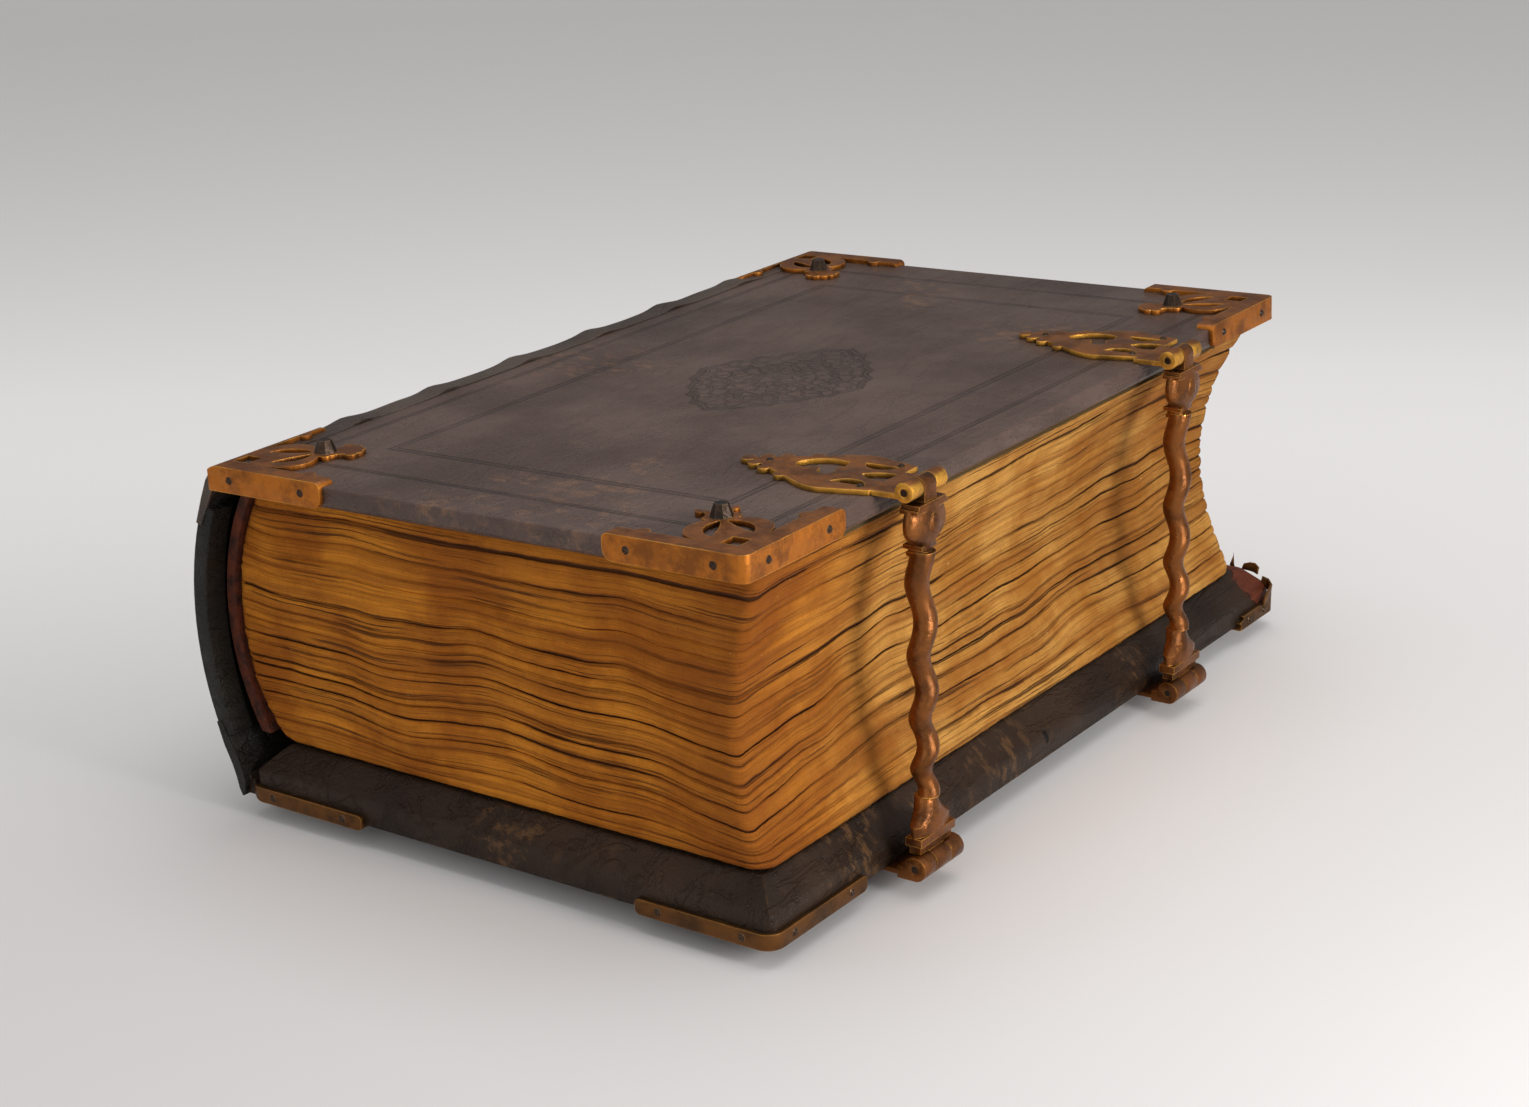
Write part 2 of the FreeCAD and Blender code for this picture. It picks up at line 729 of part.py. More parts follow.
# Clasp hinges on the back cover
#
# A strap under the cover ends beyond the fore edge in two knuckles, with the clasp's own between.
def hinge_plate(label, place):
    made = body(label)
    strap = sketch_on(made, "XY_Plane", x="cover_width - hinge_plate_length",
                      y=f"{place} - hinge_plate_half_width")
    add_box(strap, "hinge_plate_length + hinge_out - hinge_radius", "2 * hinge_plate_half_width")
    pad(made, strap, "brass_thick")
    point = sketch_on(made, "XY_Plane", y=place)
    back = size("cover_width") - size("hinge_plate_length")
    half = size("hinge_plate_half_width")
    add_outline(point, [(back, -half), (back, half), ((back - 10, 6), (back - 14, 0)), ((back - 10, -6), (back, -half))])
    pad(made, point, "brass_thick")
    web = sketch_on(made, "XY_Plane", x="cover_width + hinge_out - hinge_radius - 3",
                    y=f"{place} - hinge_half_length", z="brass_thick")
    add_box(web, "hinge_radius + 3", "2 * hinge_half_length")
    pad(made, web, "brass_thick + hinge_drop", True)
    barrel = sketch_on(made, "XZ_Plane", y="-2 * hinge_drop", z=f"-({place} + hinge_half_length)")
    add_circle(barrel, "cover_width + hinge_out", "hinge_drop", "hinge_radius")
    pad(made, barrel, "2 * hinge_half_length")
    gap = sketch_on(made, "XY_Plane", x="cover_width + hinge_out - hinge_radius - knuckle_gap",
                    y=f"{place} - arm_knuckle_half - knuckle_gap", z="hinge_radius + 1")
    add_box(gap, "2 * hinge_radius + 2", "2 * (arm_knuckle_half + knuckle_gap)")
    pocket(made, gap, "2 * hinge_radius + hinge_drop + 2")
    bore = sketch_on(made, "XZ_Plane", y="-2 * hinge_drop", z=f"-({place} + hinge_half_length)")
    add_circle(bore, "cover_width + hinge_out", "hinge_drop", "hinge_pin_radius")
    pocket(made, bore, "2 * hinge_half_length", True)
    return made


def hinge_pin(label, place):
    made = primitive(
        "Cylinder",
        {"Radius": "hinge_pin_radius", "Height": "2 * hinge_half_length"},
        ("cover_width + hinge_out", f"{place} - hinge_half_length", "-hinge_drop"),
        LIE_ALONG,
    )
    return together(label, [made])


def hinge_rivets(label, places):
    heads = []
    for place in places:
        for x, y in (("hinge_plate_length", "0"), ("12", "7"), ("12", "-7")):
            heads.append(rivet_head((f"cover_width - ({x})", f"{place} + {y}", "brass_thick")))
    return together(label, heads)


# Leaves, lining, cords and the leather of the spine
def text_block():
    made = body("text_block")
    half = (size("block_spine_height") + 2 * size("leaf_gap")) / 2
    low = size("leaf_gap")
    spine_top = size("block_spine_height") - size("leaf_gap")
    fore_top = spine_top + (size("block_fore_height") - size("block_spine_height"))
    width = BLOCK_WIDTH
    ends = []
    for out, hollow in ((BLOCK_TAIL, "block_tail_hollow"), (BLOCK_HEAD, "block_head_hollow")):
        section = sketch_on(made, "XZ_Plane", x="block_spine_inset", y=BACK_INNER, z=f"-({out})")
        add_outline(section, [
            (0, low),
            (width, low),
            ((width - size(hollow), (low + fore_top) / 2), (width, fore_top)),
            (0, spine_top),
            ((-size("block_spine_bulge"), half), (0, low)),
        ])
        ends.append(section)
    leaves = made.newObject("PartDesign::AdditiveLoft", "Leaves")
    leaves.Profile = ends[0]
    leaves.Sections = [ends[1]]
    return made


def spine_ring(radius, thick, first, length, top_angle, low_angle):
    """A strip of the spine: a tube about the spine's axis between two angles."""
    sizes = {"Radius": f"({radius}) + ({thick})", "Height": length, "Angle": f"{top_angle} + {low_angle}"}
    inner = {"Radius": radius, "Height": f"({length}) + 2", "Angle": "360"}
    place = ("spine_centre_out", f"({first}) + ({length})", "spine_centre_up")
    inner_place = ("spine_centre_out", f"({first}) + ({length}) + 1", "spine_centre_up")
    start = Rotation(ACROSS, 90).multiply(Rotation(Vector(0, 0, 1), 180 - size(top_angle)))
    outer = primitive("Cylinder", sizes, place, start)
    bore = primitive("Cylinder", inner, inner_place, start)
    return boolean("Cut", "Ring", outer, bore)


def spine_leather():
    """The leather over the round back, its raised bands and its turned-in ends."""
    inner = "(spine_radius - spine_leather_thick)"
    parts = [spine_ring(inner, "spine_leather_thick", "0", "cover_length",
                        "spine_top_angle", "spine_low_angle")]
    for first in ("0", "cover_length - cap_length"):
        parts.append(spine_ring(f"({inner} - cap_thick)", "cap_thick + 0.1", first, "cap_length",
                                "cap_angle", "cap_angle"))
    for index in range(int(size("band_count"))):
        parts.append(raised_band(index))
    return joined("spine_leather", parts)


def raised_band(index):
    """A low round ridge across the spine: a slice of a torus whose tube is flattened by its depth."""
    tube = "((band_half_width ^ 2 + band_height ^ 2) / (2 * band_height))"
    middle = f"band_first + {index} * band_pitch"
    start = Rotation(ACROSS, 90).multiply(Rotation(Vector(0, 0, 1), 180 - size("band_angle")))
    ridge = primitive(
        "Torus",
        {
            "Radius1": f"spine_radius + band_height - {tube}",
            "Radius2": tube,
            "Angle3": "2 * band_angle",
        },
        ("spine_centre_out", middle, "spine_centre_up"),
        start,
    )
    inside = primitive(
        "Cylinder",
        {"Radius": "spine_radius - spine_leather_thick / 2", "Height": f"3 * {tube}"},
        ("spine_centre_out", f"{middle} + 1.5 * {tube}", "spine_centre_up"),
        start,
    )
    return boolean("Cut", "Band", ridge, inside)


def spine_lining():
    """Strips pasted over the backs of the gatherings, following their round."""
    made = body("spine_lining")
    half = (size("block_spine_height") + 2 * size("leaf_gap")) / 2
    low = size("lining_low_rise")
    high = size("block_spine_height") - low
    out = size("block_spine_bulge") + size("spine_fit")
    thick = size("lining_thick")
    in_low = chord_out(low)
    in_high = chord_out(high)
    section = sketch_on(made, "XZ_Plane", x="block_spine_inset", y=BACK_INNER, z=f"-{BLOCK_HEAD}")
    add_outline(section, [
        (-in_low, low),
        ((-out, half), (-in_high, high)),
        (-in_high - thick, high),
        ((-out - thick, half), (-in_low - thick, low)),
    ])
    pad(made, section, f"{BLOCK_HEAD - BLOCK_TAIL}")
    return made


def chord_out(height):
    """How far the round back stands out at a height above the block's underside, with clearance."""
    low = size("leaf_gap")
    top = size("block_spine_height") - low
    half = (top - low) / 2
    bulge = size("block_spine_bulge")
    radius = (half * half + bulge * bulge) / (2 * bulge)
    rise = height - (low + top) / 2
    return bulge - radius + math.sqrt(radius * radius - rise * rise) + size("spine_fit")


def sewing_cords():
    """The cords under the raised bands, bent round the lining."""
    start = Rotation(ACROSS, 90).multiply(Rotation(Vector(0, 0, 1), 180 - size("cord_angle")))
    cords = []
    for index in range(int(size("band_count"))):
        cords.append(primitive(
            "Torus",
            {
                "Radius1": "spine_radius - spine_leather_thick - spine_fit - cord_radius",
                "Radius2": "cord_radius",
                "Angle3": "2 * cord_angle",
            },
            ("spine_centre_out", f"band_first + {index} * band_pitch", "spine_centre_up"),
            start,
        ))
    return together("sewing_cords", cords)


def lower_flap():
    """The leather below the lower joint, in the back cover's frame, loose at its end."""
    made = body("lower flap")
    thick = size("spine_leather_thick")
    joint = (size("joint_out"), size("brass_thick") - size("joint_up"))
    foot = (size("flap_low_out"), size("brass_thick") - size("flap_low"))
    start = size("spine_plate_start")
    section = sketch_on(made, "XZ_Plane", z="-cover_length")
    add_outline(section, [
        joint,
        foot,
        (start, foot[1]),
        (start, -size("spine_edge_round")),
        (-thick / 4, -size("spine_edge_round")),
        (foot[0] + thick, -thick),
        (joint[0] + thick, joint[1]),
    ])
    pad(made, section, "cover_length")
    return made


# Clasp arms
#
# One casting from the hinge knuckle to the hook: mouldings, a flared foot, the barley-twist stem,
# a collar, a shield and the hook that closes over the bar from outside.
def clasp_arm(label, place):
    hinge_x = size("cover_width") + size("hinge_out")
    hinge_z = size("brass_thick") + size("hinge_drop")
    bar_x, bar_z = bar_point()
    stem_x = hinge_x - size("stem_set_in")
    lean = (bar_x - size("stem_set_in_top") - stem_x) / (bar_z - hinge_z)

    def middle(height):
        """The arm leans inwards a little, so that it stays closed by its weight."""
        return stem_x + lean * (height - hinge_z)

    half = size("foot_half_width")
    deep = size("foot_depth") / 2
    mould = size("mould_height")
    step = size("mould_step")
    neck = size("arm_knuckle_half")
    z = hinge_z + size("hinge_radius") - 1.5
    low = z + 1.8
    foot_x = hinge_x - size("foot_set_in")
    bore = "hinge_pin_radius + pin_fit"
    pieces = [
        hollow_knuckle(hinge_x, hinge_z, place, "hinge_radius", "arm_knuckle_half", bore),
        slab(foot_x, place, z, low, neck, deep),
        slab(foot_x, place, low, low + mould, half - step, deep),
        slab(foot_x, place, low + mould, low + 2 * mould, half, deep + step),
    ]
    foot = low + 2 * mould
    top = foot + size("foot_height")
    shoulder = bar_z - size("knuckle_radius") - 3
    shield = shoulder - size("shield_height")
    collar = shield - 4
    stem = size("stem_radius")
    thin = stem - size("stem_thin")
    ring = size("ring_height")
    out = foot_x - middle(foot)
    bell = size("foot_height")
    pieces.append(lofted([
        (foot, half, deep + step, out, 0),
        (foot + 0.3 * bell, half - 0.3, deep + 2 * step, out * 0.8, 0),
        (foot + 0.6 * bell, thin + 2.6, thin + 0.5, out * 0.4, 0),
        (top, thin, thin),
    ], True, place, middle))
    pieces.append(lofted(twist(top, collar, thin, stem), False, place, middle))
    for height, wide in ((collar - ring, stem - 0.4), (collar + 0.8 * ring, stem + 0.4)):
        pieces.append(slab(middle(height), place, height, height + ring, wide, wide - 1))
    tall = size("shield_height")
    forward = size("shield_set_out")
    wide = size("shield_half_width")
    thick = size("shield_depth") / 2
    pieces.append(lofted([
        (collar, stem, stem - 0.4),
        (shield, stem + 1.6, stem - 0.4, forward / 2, 0),
        (shield + 0.3 * tall, wide - 0.6, thick, forward, 0),
        (shield + 0.65 * tall, wide, thick, forward, 0),
        (shoulder, wide - 2.5, thick - 1, forward, 0),
    ], False, place, middle))
    for height, reach in ((shoulder - ring, wide - 2), (shoulder - 0.2, wide - 3.4)):
        pieces.append(slab(middle(height) + forward, place, height, height + ring, reach, 4))
    pieces.append(oval_boss(middle(shield) + forward + thick - 0.6, shield + 0.5 * tall, place))
    pieces.append(hook(bar_x, bar_z, place, shoulder))
    return joined(label, pieces)


def twist(low, high, thin, thick):
    """Sections of the barley-twist stem: thicker, and of a longer pitch, towards the top."""
    turns = size("stem_turns")
    steps = round(turns * size("stem_steps"))
    swing = size("stem_swing")
    slack = size("stem_slack")
    sections = []
    for index in range(steps + 1):
        share = index / steps
        height = low + (high - low) * share * (1 - slack / 2 + slack / 2 * share)
        radius = thin + (thick - thin) * share
        angle = 2 * math.pi * turns * share
        sections.append((height, radius, radius, swing * math.cos(angle), swing * math.sin(angle)))
    return sections


def oval_boss(x, height, place):
    """The raised oval on the outside of the shield."""
    made = primitive("Ellipsoid", {
        "Radius1": "shield_oval",
        "Radius2": "shield_oval / 3",
        "Radius3": "0.75 * shield_oval",
    })
    made.Placement.Base = Vector(x, 0, height)
    bind(made, Placement__Base__y=place)
    return made


def lofted(members, ruled, place, middle):
    """A length of the arm through level ovals, whose middles follow the arm's slight lean."""
    ovals = []
    for height, half_y, half_x, *shift in members:
        dx, dy = shift or (0, 0)
        ovals.append(oval(height, half_y, half_x, (middle(height) + dx, dy), place))
    made = doc.addObject("Part::Loft", "Length")
    made.Sections = ovals
    made.Solid = True
    made.Ruled = ruled
    return made


def bar_point():
    """Where the front cover carries the axis of its catch bars, in the book's frame."""
    out = size("cover_width") + size("bar_out")
    lift = size("bar_lift")
    angle = math.radians(wedge_angle())
    x = size("front_shift_out") + out * math.cos(angle) - lift * math.sin(angle)
    return x, front_face_height() + out * math.sin(angle) + lift * math.cos(angle)


def wedge_angle():
    """The front cover rises to the fore edge with the swollen leaves."""
    rise = size("block_fore_height") - size("block_spine_height")
    return math.degrees(math.atan(rise / BLOCK_WIDTH))


def front_face_height():
    """Height of the front cover's outer leather at its spine edge."""
    angle = math.radians(wedge_angle())
    rise = (size("block_spine_inset") - size("front_shift_out")) * math.tan(angle)
    leaves = size("brass_thick") + BACK_THICK + size("block_spine_height")
    return leaves + FRONT_THICK / math.cos(angle) - rise


def slab(x, place, low, high, half_y, half_x):
    """A plain member of the arm, level and square to the fore edge."""
    made = doc.addObject("Part::Box", "Member")
    made.Length = 2 * half_x
    made.Width = 2 * half_y
    made.Height = high - low
    made.Placement.Base = Vector(x - half_x, 0, low)
    bind(made, Placement__Base__y=f"{place} - {half_y}")
    return made


def oval(height, half_y, half_x, centre, place):
    """A level ellipse or circle, one section of a loft."""
    made = doc.addObject("Part::Ellipse", "Section")
    made.MajorRadius = max(half_y, half_x)
    made.MinorRadius = min(half_y, half_x)
    turn = Rotation(Vector(0, 0, 1), 90)
    made.Placement = Placement(Vector(centre[0], 0, height), turn)
    bind(made, Placement__Base__y=f"{place} + {centre[1]:.3f}")
    return made


def hollow_knuckle(x, z, place, radius, half, bore):
    outer = primitive("Cylinder", {"Radius": radius, "Height": f"2 * {half}"}, None, LIE_ALONG)
    inner = primitive("Cylinder", {"Radius": bore, "Height": f"2 * {half} + 2"}, None, LIE_ALONG)
    for item, extra in ((outer, 0), (inner, 1)):
        item.Placement.Base = Vector(x, 0, z)
        bind(item, Placement__Base__y=f"{place} - {half} - {extra}")
    return boolean("Cut", "Knuckle", outer, inner)


def hook(x, z, place, shoulder):
    """A ring about the bar, open on its inner side so that the clasp swings off."""
    inner = size("bar_radius") + size("hook_fit")
    outer = inner + size("hook_wall")
    made = body("Hook")
    profile = sketch_on(made, "XZ_Plane", z=f"-({place} + hook_half_width)")
    low = shoulder - 1
    add_outline(profile, [
        (x, z + inner),
        (x, z + outer),
        ((x + outer * math.cos(math.pi / 4), z + outer * math.sin(math.pi / 4)), (x + outer, z)),
        (x + outer, low),
        (x - 1, low),
        (x - 1, z - inner - 0.8),
        (x, z - inner),
        ((x + inner, z), (x, z + inner)),
    ])
    pad(made, profile, "2 * hook_half_width")
    return made


# Assembly
def put(items, place):
    for item in items:
        item.Placement = place.multiply(item.Placement)


TAIL_PLACE = "tail_clasp_place"
HEAD_PLACE = "head_clasp_place"
# The same places measured along each cover from its own end.
BACK_TAIL = "(cover_length + brass_thick - tail_clasp_place)"
BACK_HEAD = "(cover_length + brass_thick - head_clasp_place)"
FRONT_TAIL = "(tail_clasp_place - brass_thick - front_shift_up)"
FRONT_HEAD = "(head_clasp_place - brass_thick - front_shift_up)"
CATCHES = ((FRONT_TAIL, "tail_catch_aside"), (FRONT_HEAD, "head_catch_aside"))

flap = lower_flap()
back, back_outside = bound_cover("back", BACK_THICK, flap)
back += corner_pieces("back", back_outside, ("head", "tail"), ("head", "fore"), torn_strip)
back.append(bosses("back"))
back.append(nails("back", "torn_nail"))
back.append(hinge_plate("tail_hinge_plate", BACK_TAIL))
back.append(hinge_plate("head_hinge_plate", BACK_HEAD))
back.append(hinge_pin("tail_hinge_pin", BACK_TAIL))
back.append(hinge_pin("head_hinge_pin", BACK_HEAD))
back.append(hinge_rivets("hinge_plate_rivets", (BACK_TAIL, BACK_HEAD)))

front, front_outside = bound_cover("front", FRONT_THICK)
front += corner_pieces("front", front_outside, ("tail", "head"), ("tail", "fore"), lost_finial)
front.append(bosses("front"))
front.append(nails("front", "nail_second"))
front.append(catch_plate("tail_catch_plate", FRONT_TAIL, "tail_catch_aside"))
front.append(catch_plate("head_catch_plate", FRONT_HEAD, "head_catch_aside"))
front.append(bar("tail_catch_bar", FRONT_TAIL))
front.append(bar("head_catch_bar", FRONT_HEAD))
front.append(catch_rivets("catch_plate_rivets", CATCHES))

middle = [text_block(), spine_lining(), sewing_cords(), spine_leather()]
clasps = [clasp_arm("tail_clasp", TAIL_PLACE), clasp_arm("head_clasp", HEAD_PLACE)]
doc.recompute()

back_place = Placement(
    Vector(0, size("brass_thick") + size("cover_length"), size("brass_thick")),
    Rotation(ACROSS, 180),
)
front_place = Placement(
    Vector(size("front_shift_out"), size("brass_thick") + size("front_shift_up"), front_face_height()),
    Rotation(ALONG, -wedge_angle()),
)
put(back, back_place)
put(front, front_place)
doc.recompute()

# The finished part stands with the middle of its footprint at the origin and its feet at z = 0.
nodes = back + middle + front + clasps
whole = FreeCAD.BoundBox()
for node in nodes:
    whole.add(node.Shape.optimalBoundingBox(True, False))
origin = Vector((whole.XMin + whole.XMax) / 2, (whole.YMin + whole.YMax) / 2, whole.ZMin)
put(nodes, Placement(-origin, Rotation()))
doc.recompute()

failed = [item.Label for item in doc.Objects if "Invalid" in item.State or "Error" in item.State]
if failed:
    raise RuntimeError(f"these failed: {failed}")
os.makedirs("parts", exist_ok=True)
for node in nodes:
    shape = node.Shape
    if shape.isNull() or not shape.isValid() or not shape.Solids:
        raise RuntimeError(f"{node.Label} has no valid solid")
    shape.exportStep(f"parts/{node.Label}.step")
print("origin of the finished part in the building frame", origin)
print("size", whole.XLength, whole.YLength, whole.ZLength)
print("front face", front_face_height(), "wedge", wedge_angle(), "bar", bar_point())
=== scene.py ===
"""An antique folio book with wooden boards in dark leather, pierced brass corners and twisted clasps."""
import bpy
import bmesh
import json
import math
import random
from mathutils import Matrix, Vector, noise

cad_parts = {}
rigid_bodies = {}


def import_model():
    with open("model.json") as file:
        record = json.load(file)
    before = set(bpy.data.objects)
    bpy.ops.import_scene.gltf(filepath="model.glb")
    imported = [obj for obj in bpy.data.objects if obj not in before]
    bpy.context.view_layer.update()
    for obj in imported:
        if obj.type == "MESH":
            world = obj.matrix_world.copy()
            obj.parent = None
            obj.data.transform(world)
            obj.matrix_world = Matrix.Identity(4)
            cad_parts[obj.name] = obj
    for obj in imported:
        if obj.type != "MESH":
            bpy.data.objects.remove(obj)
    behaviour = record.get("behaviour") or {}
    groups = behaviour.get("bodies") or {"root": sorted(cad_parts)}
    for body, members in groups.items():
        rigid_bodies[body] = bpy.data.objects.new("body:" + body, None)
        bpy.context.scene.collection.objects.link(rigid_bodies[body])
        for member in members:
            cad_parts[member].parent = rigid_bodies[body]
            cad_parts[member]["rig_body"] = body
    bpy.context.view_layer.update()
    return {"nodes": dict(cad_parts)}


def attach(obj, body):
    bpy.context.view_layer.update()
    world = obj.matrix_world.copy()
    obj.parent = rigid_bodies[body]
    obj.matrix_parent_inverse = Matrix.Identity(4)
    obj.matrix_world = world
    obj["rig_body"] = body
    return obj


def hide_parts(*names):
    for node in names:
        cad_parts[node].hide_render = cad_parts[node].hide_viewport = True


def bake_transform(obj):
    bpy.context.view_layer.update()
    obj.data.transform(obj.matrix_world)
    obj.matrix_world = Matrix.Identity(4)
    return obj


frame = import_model()
nodes = frame["nodes"]

MM = 0.001
# The row frame's origin, seen from the building frame of the part's source, in millimetres
ROW_ORIGIN = Vector((127.25, 212.7, -8.0))
# The front cover's spine edge at the tail
FRONT_ORIGIN = (-4.0, -2.8, 145.958)
# The leaves: both ends, the foot, the top at the spine, and how far it rises towards the fore edge
BLOCK_TAIL = 12.0
BLOCK_HEAD = 410.0
BLOCK_FOOT = 23.45
BLOCK_TOP = 133.95
BLOCK_RISE = 7.75
BLOCK_SPINE = 4
BLOCK_FORE = 256
BLOCK_HEIGHT = 0.112
# The near corner of the leaves, at the tail and the fore edge, where they sag
SAG_CORNER = (250, 12)
# The centre ornament of the front cover: its middle and half its size, in metres from FRONT_ORIGIN
ORNAMENT_MIDDLE = (0.133, 0.213)
ORNAMENT_HALF = (0.043, 0.058)
# The middle of the spine's round section, and the raised bands along it
ROUND_X = 114.5
ROUND_Z = 77
FIRST_BAND = 76
BAND_PITCH = 56
LAST_BAND = 5
# The joint strips: where they start at the tail, how long they are, and in how many steps
STRIP_START = -0.4
STRIP_LENGTH = 423.6
STRIP_STEPS = 106
# The backdrop's floor ends here, in metres beyond the book, and turns up in a quarter circle
FLOOR_END = 2.2
SWEEP = 1.2


def at(x, y, z):
    """A point given in the source's building frame, in the row frame and metres."""
    return (Vector((x, y, z)) - ROW_ORIGIN) * MM


# Shader helpers
class Shader:
    """Nodes of one material or group, added by short calls."""

    def __init__(self, tree):
        self.tree = tree
        self.step = 0

    def node(self, kind, **settings):
        made = self.tree.nodes.new(kind)
        made.location = (180 * (self.step // 6), -200 * (self.step % 6))
        self.step += 1
        for name, value in settings.items():
            setattr(made, name, value)
        return made

    def feed(self, socket, value):
        if isinstance(value, bpy.types.NodeSocket):
            self.tree.links.new(value, socket)
        else:
            socket.default_value = value

    def math(self, operation, *values):
        made = self.node("ShaderNodeMath", operation=operation)
        for index, value in enumerate(values):
            self.feed(made.inputs[index], value)
        return made.outputs[0]

    def times(self, first, second):
        return self.math("MULTIPLY", first, second)

    def ramp(self, value, low, high, start=0.0, end=1.0):
        """Smooth step of a value between two limits."""
        made = self.node("ShaderNodeMapRange", interpolation_type="SMOOTHSTEP")
        for index, item in enumerate((value, low, high, start, end)):
            self.feed(made.inputs[index], item)
        return made.outputs[0]

    def blend(self, share, first, second):
        """Two colours mixed by a share."""
        made = self.node("ShaderNodeMix", data_type="RGBA", blend_type="MIX")
        self.feed(made.inputs[0], share)
        self.feed(made.inputs[6], first)
        self.feed(made.inputs[7], second)
        return made.outputs[2]

    def speckle(self, where, scale, detail=4.0, rough=0.55, distort=0.0):
        """A cloudy noise of values about 0.5."""
        made = self.node("ShaderNodeTexNoise")
        self.feed(made.inputs["Vector"], where)
        made.inputs["Scale"].default_value = scale
        made.inputs["Detail"].default_value = detail
        made.inputs["Roughness"].default_value = rough
        made.inputs["Distortion"].default_value = distort
        return made.outputs[0]

    def stretch(self, where, scale, shift=(0, 0, 0)):
        made = self.node("ShaderNodeMapping")
        self.feed(made.inputs[0], where)
        made.inputs["Location"].default_value = shift
        made.inputs["Scale"].default_value = scale
        return made.outputs[0]

    def cells(self, where, scale, feature="F1"):
        made = self.node("ShaderNodeTexVoronoi", feature=feature)
        self.feed(made.inputs["Vector"], where)
        made.inputs["Scale"].default_value = scale
        return made.outputs["Distance"]

    def split(self, where):
        made = self.node("ShaderNodeSeparateXYZ")
        self.feed(made.inputs[0], where)
        return made.outputs

    def away(self, where, point):
        """Distance from a point."""
        made = self.node("ShaderNodeVectorMath", operation="DISTANCE")
        self.feed(made.inputs[0], where)
        made.inputs[1].default_value = point
        return made.outputs["Value"]

    def object_place(self):
        return self.node("ShaderNodeTexCoord").outputs["Object"]

    def object_normal(self):
        return self.node("ShaderNodeTexCoord").outputs["Normal"]

    def bump(self, height, distance, strength=1.0):
        made = self.node("ShaderNodeBump")
        made.inputs["Strength"].default_value = strength
        made.inputs["Distance"].default_value = distance
        self.feed(made.inputs["Height"], height)
        return made.outputs[0]

    def group(self, tree, **values):
        made = self.node("ShaderNodeGroup", node_tree=tree)
        for name, value in values.items():
            self.feed(made.inputs[name], value)
        return made.outputs


def tone(red, green, blue):
    """A colour as it looks, on a scale to 255, as the shader's linear values."""
    def linear(value):
        value /= 255
        return value / 12.92 if value <= 0.04045 else ((value + 0.055) / 1.055) ** 2.4
    return (linear(red), linear(green), linear(blue), 1)


def finish_of(name):
    """A material with its shader, and the principled shader in it."""
    made = bpy.data.materials.new(name)
    made.use_nodes = True
    shader = Shader(made.node_tree)
    return made, shader, made.node_tree.nodes["Principled BSDF"]


def effect(name, inputs, outputs):
    """A shader node group with named inputs and outputs."""
    tree = bpy.data.node_groups.new(name, "ShaderNodeTree")
    for label, kind, value in inputs:
        socket = tree.interface.new_socket(label, in_out="INPUT", socket_type=kind)
        if value is not None:
            socket.default_value = value
    for label, kind in outputs:
        tree.interface.new_socket(label, in_out="OUTPUT", socket_type=kind)
    shader = Shader(tree)
    return tree, shader, shader.node("NodeGroupInput").outputs, shader.node("NodeGroupOutput").inputs


# Effects that several finishes share
def make_grain():
    """Leather grain: fine pebbles and longer creases, as a height."""
    tree, s, given, out = effect(
        "leather grain",
        [("Place", "NodeSocketVector", None), ("Creases", "NodeSocketFloat", 0.5)],
        [("Height", "NodeSocketFloat")],
    )
    pebbles = s.cells(given["Place"], 900)
    fine = s.speckle(given["Place"], 260, 6)
    waves = s.speckle(s.stretch(given["Place"], (60, 14, 60)), 1.0, 6, 0.6, 0.8)
    creases = s.math("ABSOLUTE", s.math("SUBTRACT", waves, 0.5))
    thin = s.times(s.ramp(creases, 0.0, 0.035, 1.0, 0.0), given["Creases"])
    height = s.math("ADD", s.times(pebbles, 0.35), s.times(fine, 0.6))
    s.feed(out["Height"], s.math("SUBTRACT", height, thin))
    return tree


def make_scuffs():
    """Rubbed patches, pale specks and grime, as three masks."""
    tree, s, given, out = effect(
        "age and scuffs",
        [("Place", "NodeSocketVector", None), ("Wear", "NodeSocketFloat", 0.5)],
        [("Rubbed", "NodeSocketFloat"), ("Specks", "NodeSocketFloat"), ("Grime", "NodeSocketFloat")],
    )
    cloud = s.speckle(given["Place"], 9, 8, 0.65, 0.4)
    limit = s.math("SUBTRACT", 0.72, s.times(given["Wear"], 0.3))
    s.feed(out["Rubbed"], s.ramp(cloud, limit, s.math("ADD", limit, 0.12)))
    dots = s.speckle(given["Place"], 420, 3, 0.7)
    patch = s.ramp(s.speckle(given["Place"], 30, 4), 0.5, 0.72)
    s.feed(out["Specks"], s.times(s.ramp(dots, 0.66, 0.74), patch))
    s.feed(out["Grime"], s.ramp(s.speckle(given["Place"], 38, 7, 0.6, 0.3), 0.38, 0.7))
    return tree


def make_edges():
    """Worn arrises of a piece, and painted shade in its hollows, from its shape."""
    tree, s, given, out = effect(
        "arrises and hollows",
        [("Width", "NodeSocketFloat", 0.0008)],
        [("Arris", "NodeSocketFloat"), ("Hollow shade", "NodeSocketFloat")],
    )
    plain = s.node("ShaderNodeNewGeometry").outputs["Normal"]
    soft = s.node("ShaderNodeBevel", samples=6)
    s.feed(soft.inputs["Radius"], given["Width"])
    dot = s.node("ShaderNodeVectorMath", operation="DOT_PRODUCT")
    s.feed(dot.inputs[0], plain)
    s.feed(dot.inputs[1], soft.outputs[0])
    s.feed(out["Arris"], s.ramp(dot.outputs["Value"], 0.995, 0.9))
    # Painted shade: ambient occlusion finds the hollows, which are darkened where shade falls
    shut = s.node("ShaderNodeAmbientOcclusion", samples=6)
    shut.inputs["Distance"].default_value = 0.006
    s.feed(out["Hollow shade"], s.ramp(shut.outputs["AO"], 0.75, 0.3))
    return tree


GRAIN = make_grain()
SCUFFS = make_scuffs()
EDGES = make_edges()


